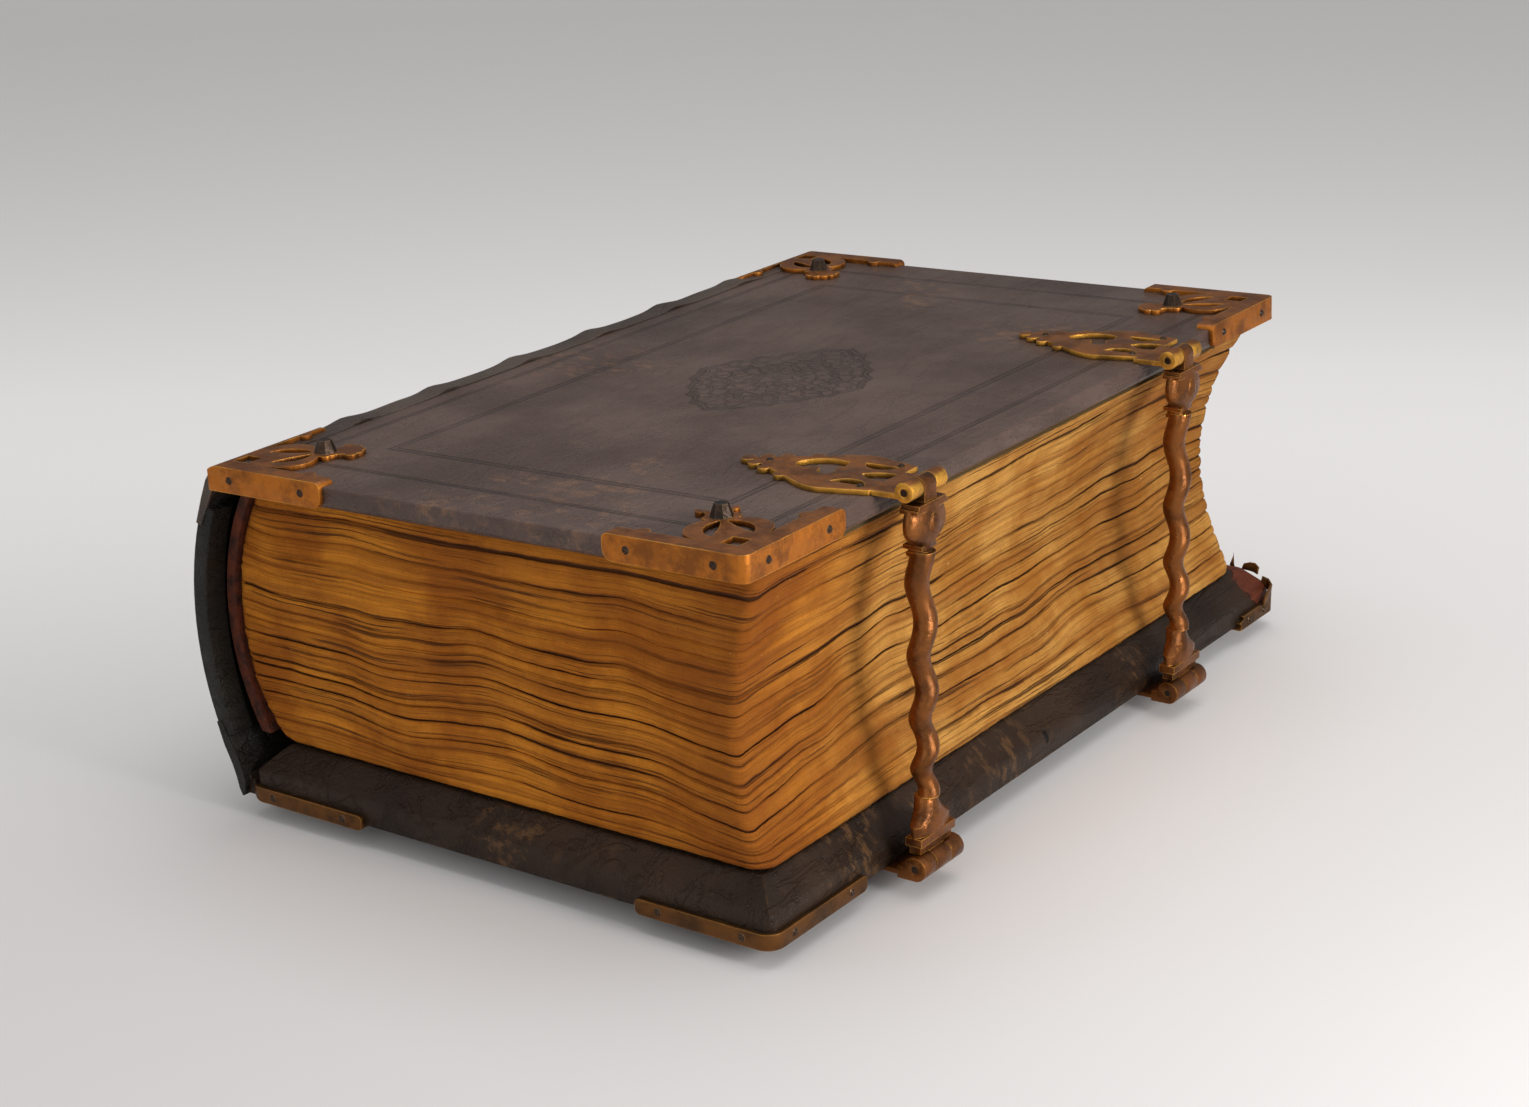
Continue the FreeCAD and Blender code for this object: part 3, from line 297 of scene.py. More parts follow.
# Finishes
def frame_line(s, across, along, box, width):
    """A tooled rectangle: 1 on its line, 0 elsewhere."""
    low_x, high_x, low_y, high_y = (value * MM for value in box)
    off_x = s.math("ABSOLUTE", s.math("SUBTRACT", across, (low_x + high_x) / 2))
    off_y = s.math("ABSOLUTE", s.math("SUBTRACT", along, (low_y + high_y) / 2))
    side = s.math("SUBTRACT", off_x, (high_x - low_x) / 2)
    end = s.math("SUBTRACT", off_y, (high_y - low_y) / 2)
    away = s.math("ABSOLUTE", s.math("MAXIMUM", side, end))
    return s.ramp(away, width * MM * 0.35, width * MM, 1.0, 0.0)


def ornament_reach(s, x, y):
    """How far a place lies out in the pointed oval of the centre ornament: 1 at its edge."""
    off_x = s.math("DIVIDE", s.math("SUBTRACT", x, ORNAMENT_MIDDLE[0]), ORNAMENT_HALF[0])
    off_y = s.math("DIVIDE", s.math("SUBTRACT", y, ORNAMENT_MIDDLE[1]), ORNAMENT_HALF[1])
    oval = s.math("SQRT", s.math("ADD", s.times(off_x, off_x), s.times(off_y, off_y)))
    point = s.math("ADD", s.times(s.math("ABSOLUTE", off_x), 0.9), s.times(s.math("ABSOLUTE", off_y), 0.9))
    reach = s.math("ADD", s.times(s.math("MAXIMUM", oval, point), 0.6), s.times(oval, 0.4))
    turn = s.math("ARCTAN2", off_y, off_x)
    scallop = s.times(s.math("ABSOLUTE", s.math("SINE", s.times(turn, 10))), 0.06)
    return s.math("ADD", reach, scallop)


def tooling(s, place):
    """Blind-tooled fillets and the centre ornament of the front cover, as a mask."""
    here = s.stretch(place, (1, 1, 1), tuple(-v for v in at(*FRONT_ORIGIN)))
    x, y, _ = s.split(here)
    lines = frame_line(s, x, y, (21, 248, 24, 402), 0.9)
    for box, width in (
        ((49, 221, 53, 373), 0.8),
        ((51.5, 218.5, 55.5, 370.5), 0.8),
        ((23, 246, 26, 400), 0.5),
    ):
        lines = s.math("MAXIMUM", lines, frame_line(s, x, y, box, width))
    reach = ornament_reach(s, x, y)
    for ring in (0.98, 0.93, 0.6, 0.3):
        near = s.math("ABSOLUTE", s.math("SUBTRACT", reach, ring))
        lines = s.math("MAXIMUM", lines, s.ramp(near, 0.006, 0.02, 1.0, 0.0))
    leafy = s.cells(s.stretch(here, (1, 1, 0.01)), 150, "DISTANCE_TO_EDGE")
    leafy = s.times(s.ramp(leafy, 0.05, 0.12, 1.0, 0.0), s.ramp(reach, 0.9, 0.92, 0.75, 0.0))
    return s.math("MAXIMUM", lines, leafy)


def crack(s, first, second, place, width, waver=0.004):
    """A split in the leather along a line between two points: 1 in it, 0 elsewhere."""
    start, end = at(*first), at(*second)
    way = (end - start).normalized()
    away = s.node("ShaderNodeVectorMath", operation="SUBTRACT")
    bent = s.node("ShaderNodeTexNoise")
    s.feed(bent.inputs["Vector"], place)
    bent.inputs["Scale"].default_value = 90
    shift = s.node("ShaderNodeVectorMath", operation="MULTIPLY_ADD")
    s.feed(shift.inputs[0], bent.outputs["Color"])
    shift.inputs[1].default_value = (waver, waver, waver)
    s.feed(shift.inputs[2], place)
    s.feed(away.inputs[0], shift.outputs[0])
    away.inputs[1].default_value = start + Vector((waver, waver, waver)) / 2
    along = s.node("ShaderNodeVectorMath", operation="DOT_PRODUCT")
    s.feed(along.inputs[0], away.outputs[0])
    along.inputs[1].default_value = way
    length = (end - start).length
    held = s.math("MINIMUM", s.math("MAXIMUM", along.outputs["Value"], 0.0), length)
    foot = s.node("ShaderNodeVectorMath", operation="SCALE")
    foot.inputs[0].default_value = way
    s.feed(foot.inputs["Scale"], held)
    gap = s.node("ShaderNodeVectorMath", operation="DISTANCE")
    s.feed(gap.inputs[0], away.outputs[0])
    s.feed(gap.inputs[1], foot.outputs[0])
    return s.ramp(gap.outputs["Value"], width * MM * 0.4, width * MM, 1.0, 0.0)


def make_leather(name, dark, light, rubbed, roughness, tooled=False, creases=0.5, wear=0.4,
                 cracks=(), torn=None, shine=0.4):
    """Old leather: grained, scuffed and rubbed bare on its arrises, with its splits and tears."""
    made, s, surface = finish_of(name)
    place = s.object_place()
    grain = s.group(GRAIN, Place=place, Creases=creases)
    age = s.group(SCUFFS, Place=place, Wear=wear)
    edges = s.group(EDGES, Width=0.0016)
    shade = s.ramp(s.speckle(place, 14, 8, 0.6), 0.3, 0.72)
    colour = s.blend(shade, dark, light)
    broken = s.ramp(s.speckle(s.stretch(place, (90, 150, 90)), 1.0, 7, 0.75), 0.5, 0.6)
    patches = s.times(age["Rubbed"], broken)
    colour = s.blend(s.times(patches, 0.45), colour, rubbed)
    colour = s.blend(s.times(age["Specks"], 0.35), colour, tone(150, 130, 112))
    bare = s.times(edges["Arris"], s.ramp(s.speckle(place, 60, 6, 0.7), 0.5, 0.62))
    colour = s.blend(s.times(bare, 0.55), colour, rubbed)
    # Painted shade: the leather is darkened in its hollows, where shade falls
    colour = s.blend(s.times(edges["Hollow shade"], 0.6), colour, tone(14, 11, 9))
    height = grain["Height"]
    rough = s.math("ADD", roughness, s.times(age["Grime"], 0.16))
    if tooled:
        pressed = tooling(s, place)
        height = s.math("SUBTRACT", height, s.times(pressed, 2.6))
        worn = s.ramp(s.speckle(place, 26, 5, 0.6), 0.36, 0.62, 0.5, 0.12)
        colour = s.blend(s.times(pressed, worn), colour, tone(30, 21, 18))
    for first, second, width in cracks:
        split = crack(s, first, second, place, width)
        height = s.math("SUBTRACT", height, s.times(split, 5))
        colour = s.blend(split, colour, tone(8, 6, 5))
    if torn:
        middle, reach, under = torn
        ragged = s.math("ADD", s.away(place, at(*middle)), s.times(s.speckle(place, 130, 5, 0.7), 0.016))
        bared = s.ramp(ragged, (reach + 8) * MM, (reach + 10) * MM, 1.0, 0.0)
        fibres = s.speckle(s.stretch(place, (300, 40, 300)), 1.0, 5, 0.7)
        colour = s.blend(bared, colour, s.blend(fibres, under, tone(52, 26, 16)))
        height = s.math("ADD", height, s.times(s.times(fibres, bared), 4))
    s.feed(surface.inputs["Base Color"], colour)
    s.feed(surface.inputs["Roughness"], rough)
    s.feed(surface.inputs["Normal"], s.bump(height, 0.0006, 0.9))
    surface.inputs["Specular IOR Level"].default_value = shine
    return made


def make_brass(name, face, lit_wall, dark, arris_wear_and_highlight, roughness=0.4):
    """Cast brass: brown faces with walls painted brighter where the light falls, arrises worn bright with
    a painted highlight, and painted shade in its hollows.
    """
    made, s, surface = finish_of(name)
    place = s.object_place()
    facing = s.math("ABSOLUTE", s.split(s.object_normal())[2])
    edges = s.group(EDGES, Width=0.0007)
    cloud = s.ramp(s.speckle(place, 62, 7, 0.66), 0.42, 0.62)
    small = s.ramp(s.speckle(place, 320, 5, 0.6), 0.35, 0.7)
    # Painted light: sideways walls are given a brighter tone than upward faces, as the light falls on them
    colour = s.blend(s.ramp(facing, 0.55, 0.9), lit_wall, face)
    colour = s.blend(s.times(cloud, 0.62), colour, dark)
    # Arrises are worn bright, and a painted highlight is laid on them
    rubbed = s.times(edges["Arris"], s.ramp(s.speckle(place, 40, 5, 0.6), 0.36, 0.6, 0.25, 1.0))
    colour = s.blend(s.times(rubbed, 0.9), colour, arris_wear_and_highlight)
    # Painted shade: the brass is darkened in its hollows, where shade falls
    colour = s.blend(s.times(edges["Hollow shade"], 0.75), colour, tone(38, 22, 12))
    s.feed(surface.inputs["Base Color"], colour)
    surface.inputs["Metallic"].default_value = 0.75
    s.feed(surface.inputs["Roughness"], s.math("ADD", roughness, s.times(small, 0.22)))
    s.feed(surface.inputs["Normal"], s.bump(s.math("ADD", small, s.times(cloud, 1.5)), 0.00012, 0.7))
    return made


def make_leaves():
    """Edges of the gathered leaves: golden with dark wavy seams, following the leaves' own map."""
    made, s, surface = finish_of("old leaves")
    where = s.node("ShaderNodeUVMap", uv_map="Leaves").outputs[0]
    place = s.object_place()
    seam = s.node("ShaderNodeAttribute", attribute_name="Seam").outputs["Fac"]
    bands = s.speckle(s.stretch(where, (4, 150, 1)), 1.0, 3, 0.5, 0.15)
    lines = s.speckle(s.stretch(where, (9, 900, 1), (3, 1, 0)), 1.0, 4, 0.6, 0.1)
    fine = s.speckle(s.stretch(where, (30, 2600, 1), (0, 5, 0)), 1.0, 3, 0.6)
    cloud = s.speckle(place, 24, 6, 0.6)
    tufts = s.speckle(s.stretch(where, (900, 260, 1)), 1.0, 4, 0.7)
    # Painted light: the tail and near end of the fore edge are painted in shade, and the fore edge further
    # towards the head is painted lit
    painted_light_share = s.ramp(s.split(place)[1], at(0, 20, 0).y, at(0, 150, 0).y)
    dull = s.blend(painted_light_share, tone(166, 92, 16), tone(178, 116, 42))
    golden = s.blend(painted_light_share, tone(214, 134, 36), tone(220, 162, 80))
    by_corner = s.away(s.stretch(place, (1, 1, 0)), at(252, 14, -8))
    colour = s.blend(s.ramp(cloud, 0.34, 0.66), dull, golden)
    stained = s.ramp(by_corner, 0.006, 0.055, 0.62, 0.0)
    colour = s.blend(stained, colour, tone(126, 62, 12))
    colour = s.blend(s.times(s.ramp(bands, 0.42, 0.62), 0.5), colour, tone(146, 78, 20))
    colour = s.blend(s.times(s.ramp(seam, 0.02, 0.6), 0.5), colour, tone(106, 56, 14))
    colour = s.blend(s.times(s.ramp(fine, 0.42, 0.7), 0.4), colour, tone(118, 64, 14))
    colour = s.blend(s.times(s.ramp(tufts, 0.55, 0.72), 0.4), colour, tone(120, 60, 10))
    cluster = s.ramp(s.speckle(s.stretch(where, (6, 70, 1), (9, 4, 0)), 1.0, 3, 0.55), 0.46, 0.6)
    thin = s.times(s.ramp(lines, 0.57, 0.63), s.math("ADD", s.times(cluster, 0.8), 0.12))
    wide = s.times(s.ramp(bands, 0.66, 0.7), 0.85)
    ragged = s.speckle(s.stretch(where, (14, 320, 1), (2, 0, 0)), 1.0, 4, 0.6)
    broken = s.ramp(s.speckle(s.stretch(where, (8, 40, 1), (2, 0, 0)), 1.0, 3, 0.6), 0.38, 0.6, 0.12, 1.0)
    uneven = s.times(s.math("SUBTRACT", ragged, 0.5), 0.9)
    parting = s.math("ADD", s.times(seam, broken), uneven)
    parting = s.times(s.ramp(parting, 0.22, 0.6), 0.95)
    dark = s.math("MAXIMUM", s.math("MAXIMUM", thin, wide), parting)
    colour = s.blend(s.times(dark, 0.86), colour, tone(60, 32, 12))
    hairs = s.speckle(s.stretch(where, (12, 1500, 1), (0, 9, 0)), 1.0, 3, 0.6)
    colour = s.blend(s.times(s.ramp(hairs, 0.56, 0.66), 0.5), colour, tone(84, 44, 12))
    pale = s.times(s.ramp(s.speckle(place, 260, 3, 0.6), 0.72, 0.76), 0.7)
    colour = s.blend(pale, colour, tone(214, 178, 120))
    height = s.math("SUBTRACT", s.times(fine, 0.7), s.times(dark, 1.4))
    height = s.math("ADD", height, s.times(tufts, 0.7))
    s.feed(surface.inputs["Base Color"], colour)
    surface.inputs["Roughness"].default_value = 0.85
    surface.inputs["Specular IOR Level"].default_value = 0.2
    s.feed(surface.inputs["Normal"], s.bump(height, 0.0008, 0.9))
    return made


def make_plain(name, dark, light, scale, stretch=(1, 1, 1), roughness=0.7, bump=0.0003):
    """Wood, paper and cord: a streaked or cloudy surface with a fine bump."""
    made, s, surface = finish_of(name)
    place = s.stretch(s.object_place(), stretch)
    cloud = s.speckle(place, scale, 7, 0.6, 0.4)
    fine = s.speckle(place, scale * 7, 4)
    colour = s.blend(s.ramp(cloud, 0.32, 0.7), dark, light)
    s.feed(surface.inputs["Base Color"], s.blend(s.times(fine, 0.3), colour, dark))
    s.feed(surface.inputs["Roughness"], s.ramp(fine, 0.2, 0.8, roughness - 0.1, roughness + 0.1))
    s.feed(surface.inputs["Normal"], s.bump(fine, bump, 0.7))
    return made


front_leather_finish = make_leather(
    "front cover leather", tone(72, 54, 47), tone(100, 80, 71), tone(146, 104, 72), 0.38,
    tooled=True, wear=0.6,
)
joint_leather_finish = make_leather(
    "joint leather", tone(58, 46, 39), tone(86, 72, 62), tone(118, 86, 60), 0.42, creases=0.8, wear=0.4,
)
spine_leather_finish = make_leather(
    "spine leather", tone(20, 18, 14), tone(38, 34, 27), tone(84, 62, 44), 0.46,
    creases=0.8, wear=0.5, shine=0.28,
)
back_leather_finish = make_leather(
    "back cover leather", tone(30, 20, 13), tone(58, 41, 28), tone(120, 84, 50), 0.42,
    creases=0.8, wear=0.8, shine=0.2,
    cracks=(
        ((173, 0, 22), (170, -1, 3), 0.8),
        ((254, 10, 24), (266, -2, 6), 1.1),
        ((258, 213, 24), (266, 208, 8), 1.8),
    ),
    torn=((262, 424, 22), 18, tone(134, 66, 40)),
)
brass_finish = make_brass(
    "aged brass", tone(146, 90, 46), tone(190, 112, 34), tone(84, 46, 24), tone(240, 176, 76))
clasp_finish = make_brass(
    "clasp brass", tone(120, 70, 30), tone(132, 78, 32), tone(54, 28, 12), tone(226, 160, 66),
    roughness=0.26)
catch_finish = make_brass(
    "catch plate brass", tone(148, 92, 46), tone(226, 164, 62), tone(76, 44, 24), tone(250, 196, 96))
dull_finish = make_brass(
    "dull foot brass", tone(86, 58, 28), tone(108, 68, 28), tone(44, 32, 20), tone(190, 132, 54))
stud_finish = make_brass(
    "dark studs", tone(44, 36, 30), tone(60, 44, 32), tone(26, 20, 18), tone(120, 92, 64),
    roughness=0.3)
leaf_finish = make_leaves()
wood_finish = make_plain("old wood", tone(92, 60, 36), tone(128, 88, 54), 40, (1, 0.08, 1))
paper_finish = make_plain("pasted paper", tone(176, 148, 104), tone(206, 182, 138), 30)
page_finish = make_plain("outer page", tone(182, 146, 92), tone(204, 174, 122), 12, bump=0.0001)
cord_finish = make_plain("sewing cord", tone(120, 96, 64), tone(160, 132, 92), 300)
lining_finish = make_plain("spine lining", tone(48, 18, 6), tone(112, 48, 16), 140, bump=0.0008)


# Pieces
def only(item):
    """Leave one object selected and active."""
    bpy.ops.object.select_all(action="DESELECT")
    item.select_set(True)
    bpy.context.view_layer.objects.active = item


def settle(item, finish, body, replaced=(), smooth=35):
    """The last steps of every piece: apply its place, give it its finish and let it ride its body."""
    only(item)
    bpy.ops.object.transform_apply(location=True, rotation=True, scale=True)
    bpy.ops.object.shade_smooth_by_angle(angle=math.radians(smooth))
    item.data.materials.clear()
    item.data.materials.append(finish)
    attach(item, body)
    if replaced:
        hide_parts(*replaced)
    return item


def refined(node, finish, bevel):
    """A merged copy of a CAD node with softened arrises, shown in the node's place."""
    source = nodes[node]
    body = source["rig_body"]
    item = bpy.data.objects.new(node + "_cast", source.data.copy())
    bpy.context.scene.collection.objects.link(item)
    only(item)
    bpy.ops.object.mode_set(mode="EDIT")
    bpy.ops.mesh.select_all(action="SELECT")
    bpy.ops.mesh.remove_doubles(threshold=0.00002)
    bpy.ops.mesh.dissolve_limited(angle_limit=math.radians(0.6))
    bpy.ops.object.mode_set(mode="OBJECT")
    soft = item.modifiers.new("soft arris", "BEVEL")
    soft.width = bevel
    soft.segments = 2
    soft.limit_method = "ANGLE"
    soft.angle_limit = math.radians(35)
    bpy.ops.object.modifier_apply(modifier=soft.name)
    return settle(item, finish, body, (node,))


# The first line with a word that a node's name holds gives its finish: every name holds the last
FINISHES = (
    (("board",), wood_finish),
    (("pastedown",), paper_finish),
    (("sewing_cords",), cord_finish),
    (("spine_lining",), lining_finish),
    (("text_block",), leaf_finish),
    (("front_leather",), front_leather_finish),
    (("back_leather",), back_leather_finish),
    (("spine_leather",), spine_leather_finish),
    (("clasp",), clasp_finish),
    (("boss", "nail", "rivet", "pin", "bar"), stud_finish),
    (("",), brass_finish),
)
for name, item in nodes.items():
    finish = next(made for words, made in FINISHES if any(word in name for word in words))
    item.data.materials.clear()
    item.data.materials.append(finish)

for side in ("back", "front"):
    for end in ("tail", "head"):
        for edge in ("spine", "fore"):
            finish = brass_finish if side == "front" else dull_finish
            refined(f"{side}_corner_{end}_{edge}", finish, 0.0004)
for end in ("tail", "head"):
    refined(f"{end}_catch_plate", catch_finish, 0.0004)
    refined(f"{end}_hinge_plate", clasp_finish, 0.0005)
    refined(f"{end}_clasp", clasp_finish, 0.0006)
for node, finish in (("front_leather", front_leather_finish), ("back_leather", back_leather_finish),
                     ("spine_leather", spine_leather_finish)):
    refined(node, finish, 0.0008)


# Leaves
#
# A closed skin round the block. Its rows follow the gatherings, close together at each seam, and
# its columns go round the four faces.

# Rows of one gathering: share of its thickness, depth in mm and darkness of the seam
GATHERING = (
    (0.0, 1.0, 1.0),
    (0.07, 0.6, 0.6),
    (0.2, 0.15, 0.1),
    (0.5, 0.0, 0.0),
    (0.8, 0.1, 0.0),
    (0.94, 0.6, 0.5),
)


def gatherings(count):
    """All rows of the skin from the foot up, for gatherings of uneven thickness."""
    dice = random.Random(7)
    weights = [dice.uniform(0.45, 1.6) for _ in range(count)]
    whole = sum(weights)
    rows = []
    low = 0.0
    for weight in weights:
        high = low + weight / whole
        strong = dice.choice((0.3, 0.5, 0.8, 1.0))
        for share, depth, shade in GATHERING:
            rows.append((low + (high - low) * share, depth * (0.5 + 1.3 * strong), shade * strong))
        low = high
    rows.append((1.0, 0.0, 0.0))
    return rows


def block_outline(length_share, height_share):
    """Spine and fore x of the block at a share of its length and of its height, in millimetres."""
    hollow = 12 + 8 * length_share
    bulge = 4 * height_share * (1 - height_share)
    return BLOCK_SPINE - 15.5 * bulge, BLOCK_FORE - hollow * bulge


def make_block():
    """The block's skin: gatherings that wave up and down and stand in and out."""
    lengths = 170
    widths = 110
    ring = [("tail", i / widths) for i in range(widths)]
    ring += [("fore", i / lengths) for i in range(lengths)]
    ring += [("head", 1 - i / widths) for i in range(widths)]
    ring += [("spine", 1 - i / lengths) for i in range(lengths)]
    rows = gatherings(19)
    mesh = bpy.data.meshes.new("leaves")
    form = bmesh.new()
    chart = form.loops.layers.uv.new("Leaves")
    seam = form.verts.layers.float.new("Seam")
    levels = []
    for up, depth, shade in rows:
        level = []
        for side, share in ring:
            vertex = form.verts.new(block_point(side, share, up, depth))
            vertex[seam] = shade
            level.append(vertex)
        levels.append(level)
    around = [0.0]
    middle = levels[len(rows) // 2]
    for index in range(len(ring)):
        step = (middle[(index + 1) % len(ring)].co - middle[index].co).length
        around.append(around[-1] + step)
    for row in range(len(rows) - 1):
        low, high = rows[row][0] * BLOCK_HEIGHT, rows[row + 1][0] * BLOCK_HEIGHT
        for index in range(len(ring)):
            after = (index + 1) % len(ring)
            face = form.faces.new((levels[row][index], levels[row][after],
                                   levels[row + 1][after], levels[row + 1][index]))
            marks = ((index, low), (index + 1, low), (index + 1, high), (index, high))
            for loop, (column, height) in zip(face.loops, marks):
                loop[chart].uv = (around[column], height)
    form.faces.new(list(reversed(levels[0])))
    form.faces.new(levels[-1])
    form.to_mesh(mesh)
    form.free()
    item = bpy.data.objects.new("leaf_block", mesh)
    bpy.context.scene.collection.objects.link(item)
    settle(item, leaf_finish, nodes["text_block"]["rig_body"], ("text_block",), 60)
    item.data.materials.append(page_finish)
    for face in item.data.polygons:
        if len(face.vertices) > 4:
            face.material_index = 1
    return item


def block_point(side, share, up, depth):
    """A point of the block's skin, in the row frame."""
    turn = 5.0 + 7.0 * max(0.0, 1 - 4 * up) ** 2
    along = {"tail": 0.0, "head": 1.0}.get(side, share)
    spine_x, fore_x = block_outline(along, up)
    first, last, out = {
        "tail": ((spine_x, BLOCK_TAIL), (fore_x, BLOCK_TAIL), (0, -1)),
        "head": ((spine_x, BLOCK_HEAD), (fore_x, BLOCK_HEAD), (0, 1)),
        "fore": ((fore_x, BLOCK_TAIL), (fore_x, BLOCK_HEAD), (1, 0)),
        "spine": ((spine_x, BLOCK_TAIL), (spine_x, BLOCK_HEAD), (-1, 0)),
    }[side]
    first, last, out = Vector(first), Vector(last), Vector(out)
    way = (last - first).normalized()
    length = (last - first).length
    gone = share * length
    near = min(gone, length - gone)
    normal = out
    spot = first + way * gone
    if near < turn:
        toward = -way if gone < length / 2 else way
        angle = math.radians(45) * (1 - near / turn)
        normal = out * math.cos(angle) + toward * math.sin(angle)
        corner = first if gone < length / 2 else last
        spot = corner - toward * turn - out * turn + normal * turn
    x, y = spot
    high = BLOCK_TOP + BLOCK_RISE * (x - BLOCK_SPINE) / (BLOCK_FORE - BLOCK_SPINE)
    fade = min(1, up * 7, (1 - up) * 7)
    wave = noise.noise(Vector((x * 0.017, y * 0.017, up * 1.3)))
    ripple = noise.noise(Vector((x * 0.05, y * 0.05, 5 + up * 3)))
    lift = (4.6 * wave + 1.2 * ripple) * fade
    lift -= 5.0 * fade * math.exp(-math.hypot(x - SAG_CORNER[0], y - SAG_CORNER[1]) / 38)
    uneven = noise.noise(Vector((x * 0.02, y * 0.02, 9 + up * 23)))
    rough = noise.noise(Vector((x * 0.3, y * 0.3, up * 60)))
    inward = 0.5 + depth * min(1, fade + 0.3) + 0.9 * uneven * fade + 0.45 * rough
    inward = 0.1 if side == "spine" else max(0.0, inward)
    if side != "spine":
        inward += 2.2 * max(0.0, 1 - up * 22) ** 2
    x -= normal.x * inward
    y -= normal.y * inward
    return at(x, y, BLOCK_FOOT + (high - BLOCK_FOOT) * up + lift)


make_block()


# Joints
#
# The covering leather bends at both sides of the spine. A strip bridges each joint.
def round_back(radius, angle):
    """A point of the spine's round section, in building x and z."""
    turn = math.radians(angle)
    return ROUND_X - radius * math.cos(turn), ROUND_Z + radius * math.sin(turn)


def joint_strip(name, outer, inner, swell, finish):
    """A length of leather with the given section, drawn out from tail to head."""
    outline = outer + inner
    bpy.ops.object.select_all(action="DESELECT")
    bpy.ops.mesh.primitive_circle_add(vertices=len(outline), fill_type="NGON")
    item = bpy.context.active_object
    item.name = name
    for vertex, (x, z) in zip(item.data.vertices, outline):
        vertex.co = (x, STRIP_START, z)
    step = STRIP_LENGTH / STRIP_STEPS
    bpy.ops.object.mode_set(mode="EDIT")
    bpy.ops.mesh.select_all(action="SELECT")
    for _ in range(STRIP_STEPS):
        bpy.ops.mesh.extrude_region_move(TRANSFORM_OT_translate={"value": (0, step, 0)})
    bpy.ops.mesh.select_all(action="SELECT")
    bpy.ops.mesh.normals_make_consistent(inside=False)
    bpy.ops.object.mode_set(mode="OBJECT")
    for vertex in item.data.vertices:
        x, y, z = vertex.co
        band = (y - FIRST_BAND) / BAND_PITCH
        near = abs(band - min(LAST_BAND, max(0, round(band)))) * BAND_PITCH
        uneven = 0.5 * noise.noise(Vector((x * 0.2, y * 0.05, z * 0.2)))
        raise_by = swell * math.exp(-(near / 8) ** 2) + uneven
        away = Vector((x - ROUND_X, 0, z - ROUND_Z)).normalized()
        vertex.co = at(*(Vector((x, y, z)) + away * raise_by))
    only(item)
    bpy.ops.object.shade_smooth_by_angle(angle=math.radians(50))
    item.data.materials.clear()
    item.data.materials.append(finish)
    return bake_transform(item)


joint_strip(
    "lower_joint_leather",
    [round_back(138.6, -19), round_back(138.9, -23), round_back(139, -26.4), (-9.1, 13.6), (-7.6, 8.5),
     (-6.4, 4), (-5.0, 0.8)],
    [(-4.2, 0.9), (-3.2, 4), (-2.6, 8), (-4.0, 13), round_back(134.4, -26.2), round_back(136, -19)],
    0.6, spine_leather_finish)
joint_strip(
    "upper_joint_leather",
    [round_back(138.6, 18), round_back(139, 23), round_back(139.2, 26.6), (-8.0, 141.8), (-6.3, 144.2),
     (-3.8, 145.9), (-0.5, 146.6), (4, 146.7), (8, 146.7)],
    [(8, 145.8), (1, 145.2), (-3.2, 142.6), (-4.8, 139), round_back(134.4, 26), round_back(136, 18)],
    1.6, joint_leather_finish)


# Torn corner
#
# At the head the fore corner of the back cover has lost its leather. Bits of the brass stand up.
def torn_bit(name, foot, heights, thick, lean):
    """A ragged bent bit of sheet: its foot follows a line, each height stands over one point."""
    steps = len(heights) - 1
    bpy.ops.object.select_all(action="DESELECT")
    bpy.ops.mesh.primitive_grid_add(x_subdivisions=steps, y_subdivisions=3)
    item = bpy.context.active_object
    item.name = name
    for vertex in item.data.vertices:
        share = (vertex.co.x + 1) / 2 * steps
        up = (vertex.co.y + 1) / 2
        index = min(int(share), steps - 1)
        part = share - index
        first, last = Vector(foot[index]), Vector(foot[index + 1])
        tall = heights[index] * (1 - part) + heights[index + 1] * part
        spot = first.lerp(last, part)
        spot += Vector((lean[0] * up * up, lean[1] * up * up, tall * up))
        spot += 0.4 * noise.noise_vector(spot * 0.7)
        vertex.co = at(*spot)
    sheet = item.modifiers.new("sheet", "SOLIDIFY")
    sheet.thickness = thick * MM
    only(item)
    bpy.ops.object.modifier_apply(modifier=sheet.name)
    soft = item.modifiers.new("soft arris", "BEVEL")
    soft.width = 0.0002
    soft.limit_method = "ANGLE"
    bpy.ops.object.modifier_apply(modifier=soft.name)
    return settle(item, dull_finish, "back_cover")


torn_bit(
    "torn_spike",
    [(246, 421, 19), (247.2, 421.2, 19), (248.4, 421, 19)],
    (2, 6.5, 1.5), 0.9, (-0.6, 0.4))
torn_bit(
    "torn_curl",
    [(251, 423, 19), (254, 423.4, 19), (257, 423.2, 18.5), (259.5, 422.6, 18)],
    (3, 4.2, 4.4, 3.4), 1.0, (0.4, 0.8))
torn_bit(
    "torn_corner",
    [(261, 424, 14), (264, 424.4, 11), (266, 422.6, 8), (266.6, 418, 7), (266.8, 413, 6)],
    (3, 5, 6.5, 5.5, 2.5), 1.2, (0.2, 0.2))


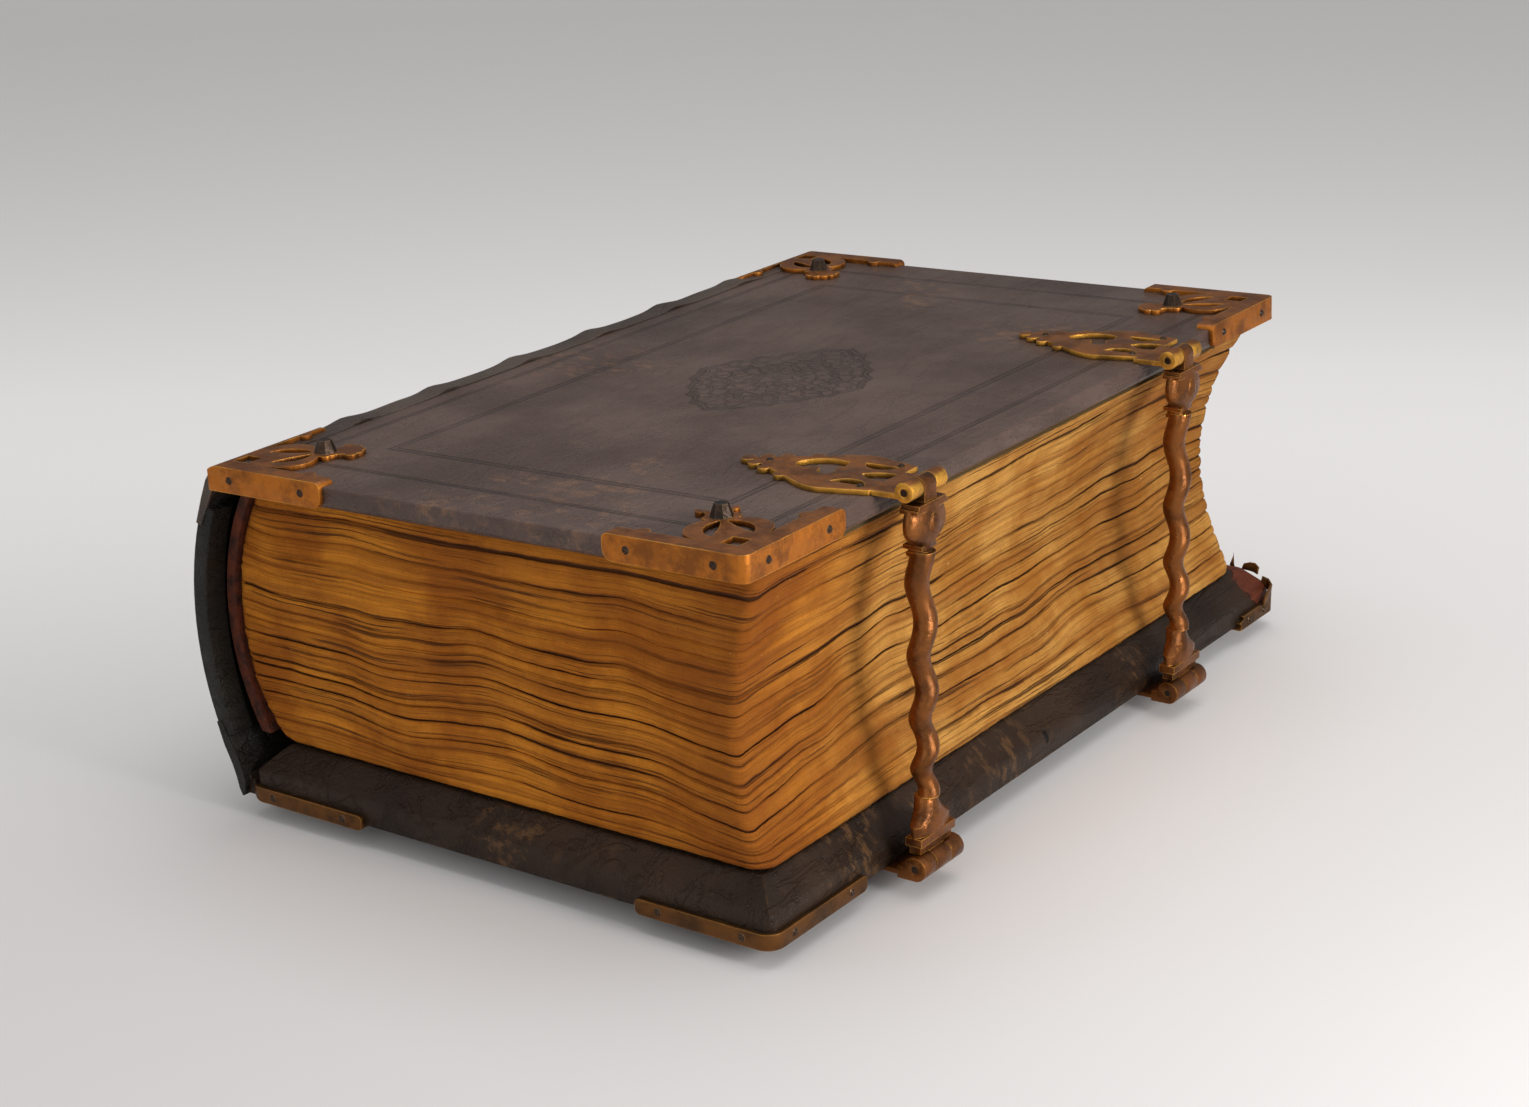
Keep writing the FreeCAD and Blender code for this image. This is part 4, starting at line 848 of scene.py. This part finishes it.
# Camera, light and backdrop
camera_data = bpy.data.cameras.new("camera")
camera = bpy.data.objects.new("camera", camera_data)
bpy.context.scene.collection.objects.link(camera)
camera_data.sensor_width = 36
camera_data.lens = 66.34
camera_data.clip_end = 50
azimuth, height, roll = (math.radians(v) for v in (35.28, 19.19, -1.5))
back = Vector((
    math.sin(azimuth) * math.cos(height),
    -math.cos(azimuth) * math.cos(height),
    math.sin(height),
))
side = (-back).cross(Vector((0, 0, 1))).normalized()
upward = side.cross(-back)
right = side * math.cos(roll) + upward * math.sin(roll)
over = upward * math.cos(roll) - side * math.sin(roll)
camera.matrix_world = Matrix((right, over, back)).transposed().to_4x4()
looked_at = at(233.19, 47.74, 136.65)
distance = 1.04916
camera.location = looked_at + back * distance
bpy.context.scene.camera = camera

scene = bpy.context.scene
scene.view_settings.view_transform = "Standard"
world = bpy.data.worlds.new("room")
scene.world = world
world.use_nodes = True
world.node_tree.nodes["Background"].inputs[0].default_value = (0.82, 0.83, 0.85, 1)
world.node_tree.nodes["Background"].inputs[1].default_value = 0.6


def lamp(name, place, target, size, power):
    """A rectangular lamp of a size in metres, turned to its target."""
    data = bpy.data.lights.new(name, "AREA")
    data.shape = "RECTANGLE"
    data.size, data.size_y = size
    data.energy = power
    item = bpy.data.objects.new(name, data)
    bpy.context.scene.collection.objects.link(item)
    item.location = place
    item.rotation_mode = "QUATERNION"
    item.rotation_quaternion = (Vector(target) - Vector(place)).to_track_quat("-Z", "Y")


# A soft box beside the fore edge, a broad one overhead, and a weak one by the tail
lamp("soft box", at(1010, 40, 330), at(250, 200, 80), (0.26, 0.26), 3.9)
lamp("overhead", at(150, 300, 1500), at(140, 200, 100), (1.6, 1.2), 8)
lamp("tail fill", at(250, -1300, 700), at(140, 100, 80), (0.9, 0.9), 2.5)


def make_backdrop():
    """A floor that curves up behind the book."""
    data = bpy.data.meshes.new("backdrop")
    form = bmesh.new()
    profile = [(-3.0, 0.0), (FLOOR_END, 0.0)]
    for degrees in range(9, 91, 9):
        angle = math.radians(degrees)
        profile.append((FLOOR_END + SWEEP * math.sin(angle), SWEEP - SWEEP * math.cos(angle)))
    profile.append((FLOOR_END + SWEEP, 4.0))
    turn = Matrix.Rotation(azimuth, 3, "Z")
    rows = []
    for far, up in profile:
        rows.append([form.verts.new(turn @ Vector((x, far, up))) for x in (-5, 5)])
    for low, high in zip(rows, rows[1:]):
        form.faces.new((low[0], low[1], high[1], high[0]))
    form.to_mesh(data)
    form.free()
    item = bpy.data.objects.new("backdrop", data)
    bpy.context.scene.collection.objects.link(item)
    for face in data.polygons:
        face.use_smooth = True
    made, s, surface = finish_of("studio paper")
    x, y, _ = s.split(s.object_place())
    far = s.math("SUBTRACT", s.times(y, math.cos(azimuth)), s.times(x, math.sin(azimuth)))
    # Painted shade: the paper's colour darkens with distance beyond the book, as the light falls off
    beyond = s.math("MAXIMUM", s.math("SUBTRACT", far, 0.55), 0.0)
    share = s.math("SUBTRACT", 1.0, s.math("EXPONENT", s.math("DIVIDE", beyond, -0.55)))
    s.feed(surface.inputs["Base Color"], s.blend(share, tone(222, 219, 217), tone(181, 178, 176)))
    # Painted light: a glow that only the camera sees grows with distance from the book and brightens the
    # far paper
    seen = s.node("ShaderNodeLightPath").outputs["Is Camera Ray"]
    glow = s.times(s.ramp(far, -0.25, 0.45, 0.0, 0.215), seen)
    surface.inputs["Emission Color"].default_value = (1, 0.985, 0.975, 1)
    s.feed(surface.inputs["Emission Strength"], glow)
    surface.inputs["Roughness"].default_value = 0.9
    surface.inputs["Specular IOR Level"].default_value = 0.1
    data.materials.append(made)


make_backdrop()
